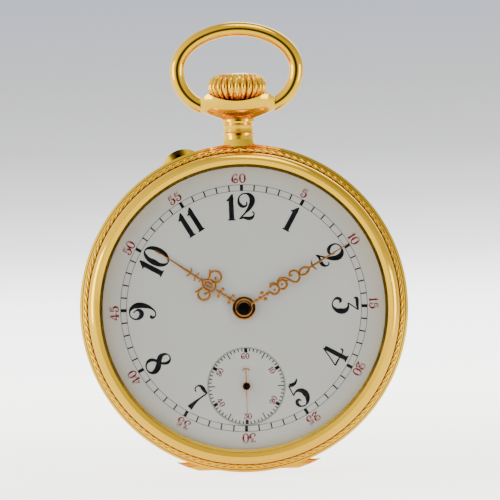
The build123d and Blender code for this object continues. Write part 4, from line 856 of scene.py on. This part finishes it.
class WATCH_OT_make_minute_hand(bpy.types.Operator):
    """Make the pierced minute hand with its scrolls, leaf and needle"""

    bl_idname = "watch.make_minute_hand"
    bl_label = "Make minute hand"

    def execute(self, context):
        hands = context.scene.watch_hands
        wire = hands.wire / MM
        tip = hands.minute_length / MM
        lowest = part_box("minute_hand")[1].y
        front = lowest - hands.thickness / 2
        items = [
            ([(1.2, 0, 0.2), (2.0, 0, 0.16), (3.6, 0, 0.13), (4.5, 0, 0.13)], False),
            bead(2.1, 0, 0.3),
            bead(2.75, 0, 0.36),
            *both_sides(bead(3.35, 0.5, 0.33)),
            bead(3.95, 0, 0.3),
            hoop(5.2, 0, 0.7, wire, pi, 1.72 * pi, 9),
            bead(5.2, -0.1, 0.24),
            ([(5.9, 0.1, wire), (5.75, 0.65, wire), (5.3, 0.98, wire * 0.8), (4.9, 1.0, wire * 0.5)], False),
            hoop(6.55, -0.02, 0.66, wire, 0.9 * pi, -1.7 * pi, 9),
            bead(6.5, 0.05, 0.22),
            ([(6.1, 0.6, wire), (6.6, 0.9, wire), (7.2, 0.75, wire), (7.75, 0.2, wire * 0.8),
              (8.0, -0.55, wire * 0.5)], False),
            ([(7.2, 0.1, wire), (7.8, 0.0, wire), (8.1, -0.45, wire), (8.55, -0.78, wire), (9.1, -0.6, wire),
              (9.42, 0.0, wire), (9.3, 0.62, wire), (8.85, 0.9, wire), (8.35, 0.85, wire), (8.2, 0.5, wire),
              (8.55, 0.35, wire * 0.8)], False),
            *both_sides(
                ([(9.4, 0.0, wire), (9.9, 0.42, wire), (10.5, 0.45, wire), (11.15, 0.06, wire)], False)
            ),
            ([(11.1, 0, 0.17), (12.5, 0, 0.17), (15.5, 0, 0.11), (tip - 0.03, 0, 0.04)], False),
        ]
        items += barb(11.7, 0.8, wire * 0.9, 0.35)
        items += barb(4.35, 0.35, wire * 0.8, 0.15)
        round_wires(along_hand(MINUTE_ANGLE, items), front, hands.thickness)
        made = named("minute_hand_pierced", "polished_rose_gold", "minute_hand")
        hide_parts("minute_hand")
        turned_ring(0.85 * MM, 1.2 * MM, lowest, lowest - 0.34 * MM, 0.05 * MM)
        named("minute_collar", "mirror_rose_gold", "minute_hand")
        return {"FINISHED"}


class WATCH_OT_make_hour_hand(bpy.types.Operator):
    """Make the pierced hour hand with its two side rings and heart"""

    bl_idname = "watch.make_hour_hand"
    bl_label = "Make hour hand"

    def execute(self, context):
        hands = context.scene.watch_hands
        wire = hands.wire / MM
        tip = hands.hour_length / MM
        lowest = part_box("hour_hand")[1].y
        front = lowest - hands.thickness / 2
        items = [
            ([(1.4, 0, 0.24), (2.4, 0, 0.18), (4.2, 0, 0.16), (5.2, 0, 0.14)], False),
            ([(2.3, -0.6, 0.12), (2.45, 0, 0.2), (2.3, 0.6, 0.12)], False),
            *both_sides(bead(2.3, 0.6, 0.27)),
            ([(4.1, -0.6, 0.12), (4.2, 0, 0.2), (4.1, 0.6, 0.12)], False),
            *both_sides(bead(4.1, 0.62, 0.28)),
            bead(3.3, 0, 0.32),
            *both_sides(
                ([(5.1, 0, wire), (5.25, 0.5, wire), (5.9, 0.75, wire), (6.6, 0.62, wire), (7.3, 0.0, wire)], False),
                hoop(6.0, 1.5, 0.86, wire, -0.2 * pi, 1.75 * pi, 10),
                ([(5.5, 0.7, wire * 0.8), (5.75, 1.25, wire), (6.0, 1.5, 0.2)], False),
                ([(6.6, 0.6, wire), (6.9, 1.4, wire), (7.25, 2.0, wire * 0.6)], False),
            ),
            ([(5.6, 0.0, wire * 0.8), (6.2, 0.28, wire * 0.8), (6.7, 0.0, wire * 0.8), (6.2, -0.28, wire * 0.8)], True),
            ([(7.2, 0, 0.16), (8.6, 0, 0.16), (9.6, 0, 0.2), (12.0, 0, 0.14), (tip - 0.03, 0, 0.04)], False),
            ([(8.3, -0.55, 0.1), (8.45, 0, 0.18), (8.3, 0.55, 0.1)], False),
            *both_sides(bead(8.3, 0.6, 0.16)),
        ]
        items += barb(9.3, 0.75, wire * 0.9, 0.35)
        items += barb(7.5, 0.4, wire * 0.8, 0.15)
        round_wires(along_hand(HOUR_ANGLE, items), front, hands.thickness)
        made = named("hour_hand_pierced", "polished_rose_gold", "hour_hand")
        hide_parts("hour_hand")
        turned_ring(1.22 * MM, 1.72 * MM, lowest, lowest - 0.32 * MM, 0.05 * MM)
        named("hour_collar", "mirror_rose_gold", "hour_hand")
        return {"FINISHED"}


class WATCH_OT_make_seconds_hand(bpy.types.Operator):
    """Make the fine seconds hand with its crescent tail and dark hub"""

    bl_idname = "watch.make_seconds_hand"
    bl_label = "Make seconds hand"

    def execute(self, context):
        hands = context.scene.watch_hands
        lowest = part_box("seconds_hand")[1].y
        front = lowest - 0.06 * MM
        tip = hands.seconds_length / MM
        items = [
            ([(-2.35, 0, 0.08), (-1.2, 0, 0.09), (0, 0, 0.12), (2.0, 0, 0.06), (tip, 0, 0.03)], False),
            ([(-2.25, 0.52, 0.07), (-2.52, 0.3, 0.11), (-2.5, 0, 0.12), (-2.52, -0.3, 0.11),
              (-2.25, -0.52, 0.07)], False),
        ]
        strokes = []
        for points, closed in along_hand(SECONDS_ANGLE, items):
            strokes.append(([(x + SECONDS_X, z + SECONDS_Z, half) for x, z, half in points], closed))
        round_wires(strokes, front, 0.1 * MM)
        made = named("seconds_hand_fine", "polished_rose_gold", "seconds_hand")
        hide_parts("seconds_hand")
        ball(SECONDS_X, SECONDS_Z, 0.5 * MM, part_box("fourth_wheel")[0].y, 0.2 * MM)
        named("seconds_hand_hub", "blackened_steel", "seconds_hand")
        turned_ring(0.46 * MM, 0.6 * MM, lowest, front - 0.1 * MM, 0.03 * MM, SECONDS_X, SECONDS_Z)
        named("seconds_hand_rim", "polished_rose_gold", "seconds_hand")
        return {"FINISHED"}


class WATCH_OT_cap_hands(bpy.types.Operator):
    """Cover the end of the centre arbor with a dark domed cap inside the hands' collars"""

    bl_idname = "watch.cap_hands"
    bl_label = "Cap centre arbor"

    def execute(self, context):
        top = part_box("center_wheel")[0].y
        ball(0, 0, 0.9 * MM, top, 0.16 * MM)
        named("arbor_cap", "blackened_steel", "minute_hand")
        return {"FINISHED"}


class WATCH_OT_engrave_band(bpy.types.Operator):
    """Cut the laurel of slanting leaves on the shoulder of the case band, and lay dark rings beside it as painted
    shadow lines
    """

    bl_idname = "watch.engrave_band"
    bl_label = "Engrave band"

    def execute(self, context):
        case = context.scene.watch_case
        half_count = round(pi * LAUREL_RADIUS / case.leaf_pitch)
        halves = []
        for side in (1, -1):
            lie = Matrix.Rotation(SHOULDER_SLOPE, 3, "X") @ Matrix.Rotation(side * LEAF_SLANT, 3, "Z")
            deselect()
            bpy.ops.mesh.primitive_uv_sphere_add(
                segments=12,
                ring_count=8,
                radius=1,
                location=(0, LAUREL_DEPTH, LAUREL_RADIUS),
                rotation=lie.to_euler(),
                scale=(case.leaf_length / 2, case.leaf_width / 2, case.leaf_relief),
            )
            bpy.ops.object.transform_apply(location=True, rotation=True, scale=True)
            edit_all()
            step = side * pi / half_count
            turn(step / 2, (0, 0, 0))
            ring_copies(half_count, step=step)
            bpy.ops.object.mode_set(mode="OBJECT")
            halves.append(bpy.context.object)
        join(halves)
        bpy.ops.object.shade_smooth()
        named("laurel_band", "engraved_yellow_gold", "case")
        # painted shadow lines inside and outside the laurel, dark rings that stand for the shade in the grooves:
        # radius, width, place on the shoulder, depth
        inner = flat_ring(22.8 * MM, 0.14 * MM, -8.87 * MM, 0.08 * MM)
        outer = flat_ring(23.6 * MM, 0.1 * MM, -8.06 * MM, 0.1 * MM)
        join([inner, outer])
        named("band_painted_shadow_lines", "painted_groove_shadow", "case")
        return {"FINISHED"}


class WATCH_OT_open_guard(bpy.types.Operator):
    """Lay a dark bead in the front of the setting pin's guard: partly the pusher's blackened end, partly painted shade
    of the notch round it
    """

    bl_idname = "watch.open_guard"
    bl_label = "Open pin guard"

    def execute(self, context):
        low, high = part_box("set_pin_guard")
        middle = (low + high) / 2
        # painted shade: the dark bead stands partly for the pusher's blackened end and partly for the shade in the
        # guard's notch
        ball(middle.x, middle.z, context.scene.watch_case.mouth / 2, low.y, 0.12 * MM)
        named("guard_mouth_painted_shade", "blackened_steel", "case")
        return {"FINISHED"}


class WATCH_OT_flute_crown(bpy.types.Operator):
    """Make the crown: a turned knob with swelling ribs that taper to its top and its foot"""

    bl_idname = "watch.flute_crown"
    bl_label = "Flute crown"

    def execute(self, context):
        case = context.scene.watch_case
        centre = Vector(joints["crown_turn"]["pos_m"])
        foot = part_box("crown")[0].z
        low = foot + CROWN_STEM
        # the knob's outline and a rib's: radius in mm and height; distance out, half width and rise in mm
        body = [
            (1.75, foot), (1.75, low), (2.4, low + 0.05 * MM), (2.8, low + 0.4 * MM), (3.25, low + 0.95 * MM),
            (3.55, low + 1.7 * MM), (3.6, low + 2.4 * MM), (3.45, low + 3.1 * MM), (3.1, low + 3.65 * MM),
            (2.6, low + 3.95 * MM), (1.6, low + 4.1 * MM),
        ]
        deselect()
        bpy.ops.mesh.primitive_circle_add(
            vertices=64, radius=body[0][0] * MM, fill_type="NGON", location=(centre.x, centre.y, foot)
        )
        grow(centre, [(radius / before[0], height - before[1]) for before, (radius, height) in zip(body, body[1:])])
        knob = bpy.context.object
        rib = [
            (2.6, 0.1, 0.02), (3.05, 0.22, 0.32), (3.5, 0.32, 0.8), (3.85, 0.4, 1.5), (3.95, 0.4, 2.1),
            (3.9, 0.37, 2.7), (3.66, 0.31, 3.3), (3.15, 0.24, 3.8), (2.5, 0.15, 4.02),
        ]
        deselect()
        bpy.ops.mesh.primitive_circle_add(
            vertices=10, radius=MM, fill_type="NGON", location=(centre.x, centre.y - rib[0][0] * MM, low)
        )
        edit_all()
        bpy.ops.transform.resize(
            value=(rib[0][1],) * 3, center_override=(centre.x, centre.y - rib[0][0] * MM, low)
        )
        for before, (out, half, rise) in zip(rib, rib[1:]):
            bpy.ops.mesh.extrude_region_move(
                TRANSFORM_OT_translate={"value": (0, (before[0] - out) * MM, (rise - before[2]) * MM)}
            )
            middle = (centre.x, centre.y - out * MM, low + rise * MM)
            bpy.ops.transform.resize(value=(half / before[1],) * 3, center_override=middle)
        bpy.ops.mesh.select_all(action="SELECT")
        ring_copies(case.crown_ribs, centre, axis="Z")
        bpy.ops.mesh.select_all(action="SELECT")
        bpy.ops.mesh.normals_make_consistent(inside=False)
        bpy.ops.object.mode_set(mode="OBJECT")
        join([bpy.context.object, knob])
        bpy.ops.object.shade_smooth_by_angle(angle=radians(50))
        made = named("crown_fluted", "polished_yellow_gold", "crown")
        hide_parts("crown")
        return {"FINISHED"}


class WATCH_OT_set_stage(bpy.types.Operator):
    """Lay the pale floor, set the soft lights and the camera"""

    bl_idname = "watch.set_stage"
    bl_label = "Set stage"

    def execute(self, context):
        stage = context.scene.watch_stage
        deselect()
        bpy.ops.mesh.primitive_plane_add(size=stage.floor_size, location=(0, 0, cad_box[0].z - 0.2 * MM))
        floor = bpy.context.object
        floor.name = "floor"
        bpy.ops.object.transform_apply(location=True, rotation=True, scale=True)
        floor.data.materials.append(finishes()["matt_paper"])
        light_room(context.scene)
        soft_light("top_softbox", (0.1, -0.2, 0.6), 0.3, 1.0)
        soft_light("left_softbox", (-0.6, -0.25, 0.1), 0.3, 1.4)
        soft_light("right_softbox", (0.55, -0.3, 0.0), 0.25, 0.9)
        soft_light("back_softbox", (0.2, 0.6, 0.4), 0.5, 2.0)
        place_camera(context.scene, stage)
        return {"FINISHED"}


def light_room(scene):
    """Studio air: a pale sweep behind the watch, bright sides, a dim front where the camera stands."""
    world = scene.world or bpy.data.worlds.new("studio")
    scene.world = world
    world.use_nodes = True
    tree = world.node_tree
    tree.nodes.clear()
    direction = add_node(tree, "ShaderNodeTexCoord").outputs["Generated"]
    split = add_node(tree, "ShaderNodeSeparateXYZ", links={"Vector": direction})
    # the sweep, from white paper below the horizon to a cool grey above
    rise = add_node(tree, "ShaderNodeMapRange", {"From Min": -0.04, "From Max": 0.06}, {"Value": split.outputs["Z"]})
    sweep = add_node(tree, "ShaderNodeValToRGB", links={"Fac": rise.outputs["Result"]})
    tones = sweep.color_ramp
    tones.elements[0].color = (0.95, 0.96, 0.9, 1)
    tones.elements[1].color = (0.122, 0.13, 0.152, 1)
    for place, tone in ((0.28, 0.72), (0.4, 0.41), (0.52, 0.265), (0.64, 0.185), (0.8, 0.15)):
        tones.elements.new(place).color = (tone * 0.99, tone, tone * 1.02, 1)
    # the room round the watch: brighter to the left and below, dim in front
    lean = add_node(
        tree, "ShaderNodeVectorMath", {1: (-0.5, 0.0, -1.05)}, {0: direction}, operation="DOT_PRODUCT"
    )
    walls = add_node(tree, "ShaderNodeMath", {1: 1.65}, {0: lean.outputs["Value"]}, operation="ADD")
    depth = add_node(tree, "ShaderNodeMapRange", {"From Min": -1.0, "From Max": 1.0}, {"Value": split.outputs["Y"]})
    front = add_node(tree, "ShaderNodeValToRGB", links={"Fac": depth.outputs["Result"]})
    shades = front.color_ramp
    shades.elements[0].color = (0.02, 0.018, 0.015, 1)
    shades.elements[1].color = (1, 1, 1, 1)
    for place, tone in ((0.005, 0.02), (0.012, 0.07), (0.03, 0.2), (0.05, 0.5), (0.076, 0.8), (0.15, 1.0)):
        shades.elements.new(place).color = (tone, tone * 0.98, tone * 0.96, 1)
    room = add_node(
        tree,
        "ShaderNodeVectorMath",
        links={0: front.outputs["Color"], "Scale": walls.outputs["Value"]},
        operation="SCALE",
    )
    backdrop = add_node(
        tree, "ShaderNodeVectorMath", {"Scale": 6.0}, {0: sweep.outputs["Color"]}, operation="SCALE"
    )
    seen = add_node(tree, "ShaderNodeLightPath").outputs["Is Camera Ray"]
    air = add_node(
        tree,
        "ShaderNodeMix",
        links={0: seen, 6: room.outputs["Vector"], 7: backdrop.outputs["Vector"]},
        data_type="RGBA",
    )
    background = add_node(tree, "ShaderNodeBackground", links={"Color": air.outputs[2]})
    add_node(tree, "ShaderNodeOutputWorld", links={"Surface": background.outputs["Background"]})


def soft_light(name, place, side, power):
    """Square soft light that looks at the watch."""
    data = bpy.data.lights.new(name, "AREA")
    data.size = side
    data.energy = power
    made = bpy.data.objects.new(name, data)
    bpy.context.collection.objects.link(made)
    made.location = place
    made.rotation_euler = (Vector((0, 0, 0)) - Vector(place)).to_track_quat("-Z", "Y").to_euler()


def place_camera(scene, stage):
    """Long lens straight at the dial, level but for a slight roll."""
    data = bpy.data.cameras.new("camera")
    made = bpy.data.objects.new("camera", data)
    bpy.context.collection.objects.link(made)
    data.sensor_width = 36.0
    data.lens = data.sensor_width * stage.distance / stage.view_width
    data.clip_start = 0.01
    made.location = (stage.aim_x, -stage.distance, stage.aim_z)
    made.rotation_euler = (Matrix.Rotation(stage.roll, 3, "Y") @ Matrix.Rotation(pi / 2, 3, "X")).to_euler()
    scene.camera = made


STEPS = (
    WATCH_OT_finish_frame,
    WATCH_OT_print_track,
    WATCH_OT_print_numerals,
    WATCH_OT_print_seconds,
    WATCH_OT_make_hour_hand,
    WATCH_OT_make_minute_hand,
    WATCH_OT_make_seconds_hand,
    WATCH_OT_cap_hands,
    WATCH_OT_engrave_band,
    WATCH_OT_open_guard,
    WATCH_OT_flute_crown,
    WATCH_OT_set_stage,
)
GROUPS = {
    "watch_dial": DialSizes,
    "watch_hands": HandSizes,
    "watch_case": CaseSizes,
    "watch_colours": FinishColours,
    "watch_stage": StageSizes,
}


class WATCH_PT_panel(bpy.types.Panel):
    """Sizes, colours and steps of the pocket watch"""

    bl_idname = "WATCH_PT_panel"
    bl_label = "Pocket watch"
    bl_space_type = "VIEW_3D"
    bl_region_type = "UI"
    bl_category = "Watch"

    def draw(self, context):
        for group in GROUPS:
            box = self.layout.box()
            values = getattr(context.scene, group)
            for name in values.bl_rna.properties.keys():
                if name not in ("rna_type", "name"):
                    box.prop(values, name)
        for step in STEPS:
            self.layout.operator(step.bl_idname)


def register():
    """Register the classes and hang the groups of values on the scene."""
    for group in GROUPS.values():
        bpy.utils.register_class(group)
    for name, group in GROUPS.items():
        setattr(bpy.types.Scene, name, bpy.props.PointerProperty(type=group))
    for step in STEPS:
        bpy.utils.register_class(step)
    bpy.utils.register_class(WATCH_PT_panel)


def unregister():
    """Undo register."""
    bpy.utils.unregister_class(WATCH_PT_panel)
    for step in reversed(STEPS):
        bpy.utils.unregister_class(step)
    for name in GROUPS:
        delattr(bpy.types.Scene, name)
    for group in reversed(list(GROUPS.values())):
        bpy.utils.unregister_class(group)


def main():
    """Make everything in order."""
    register()
    for step in STEPS:
        family, action = step.bl_idname.split(".")
        getattr(getattr(bpy.ops, family), action)()


if __name__ == "__main__":
    main()
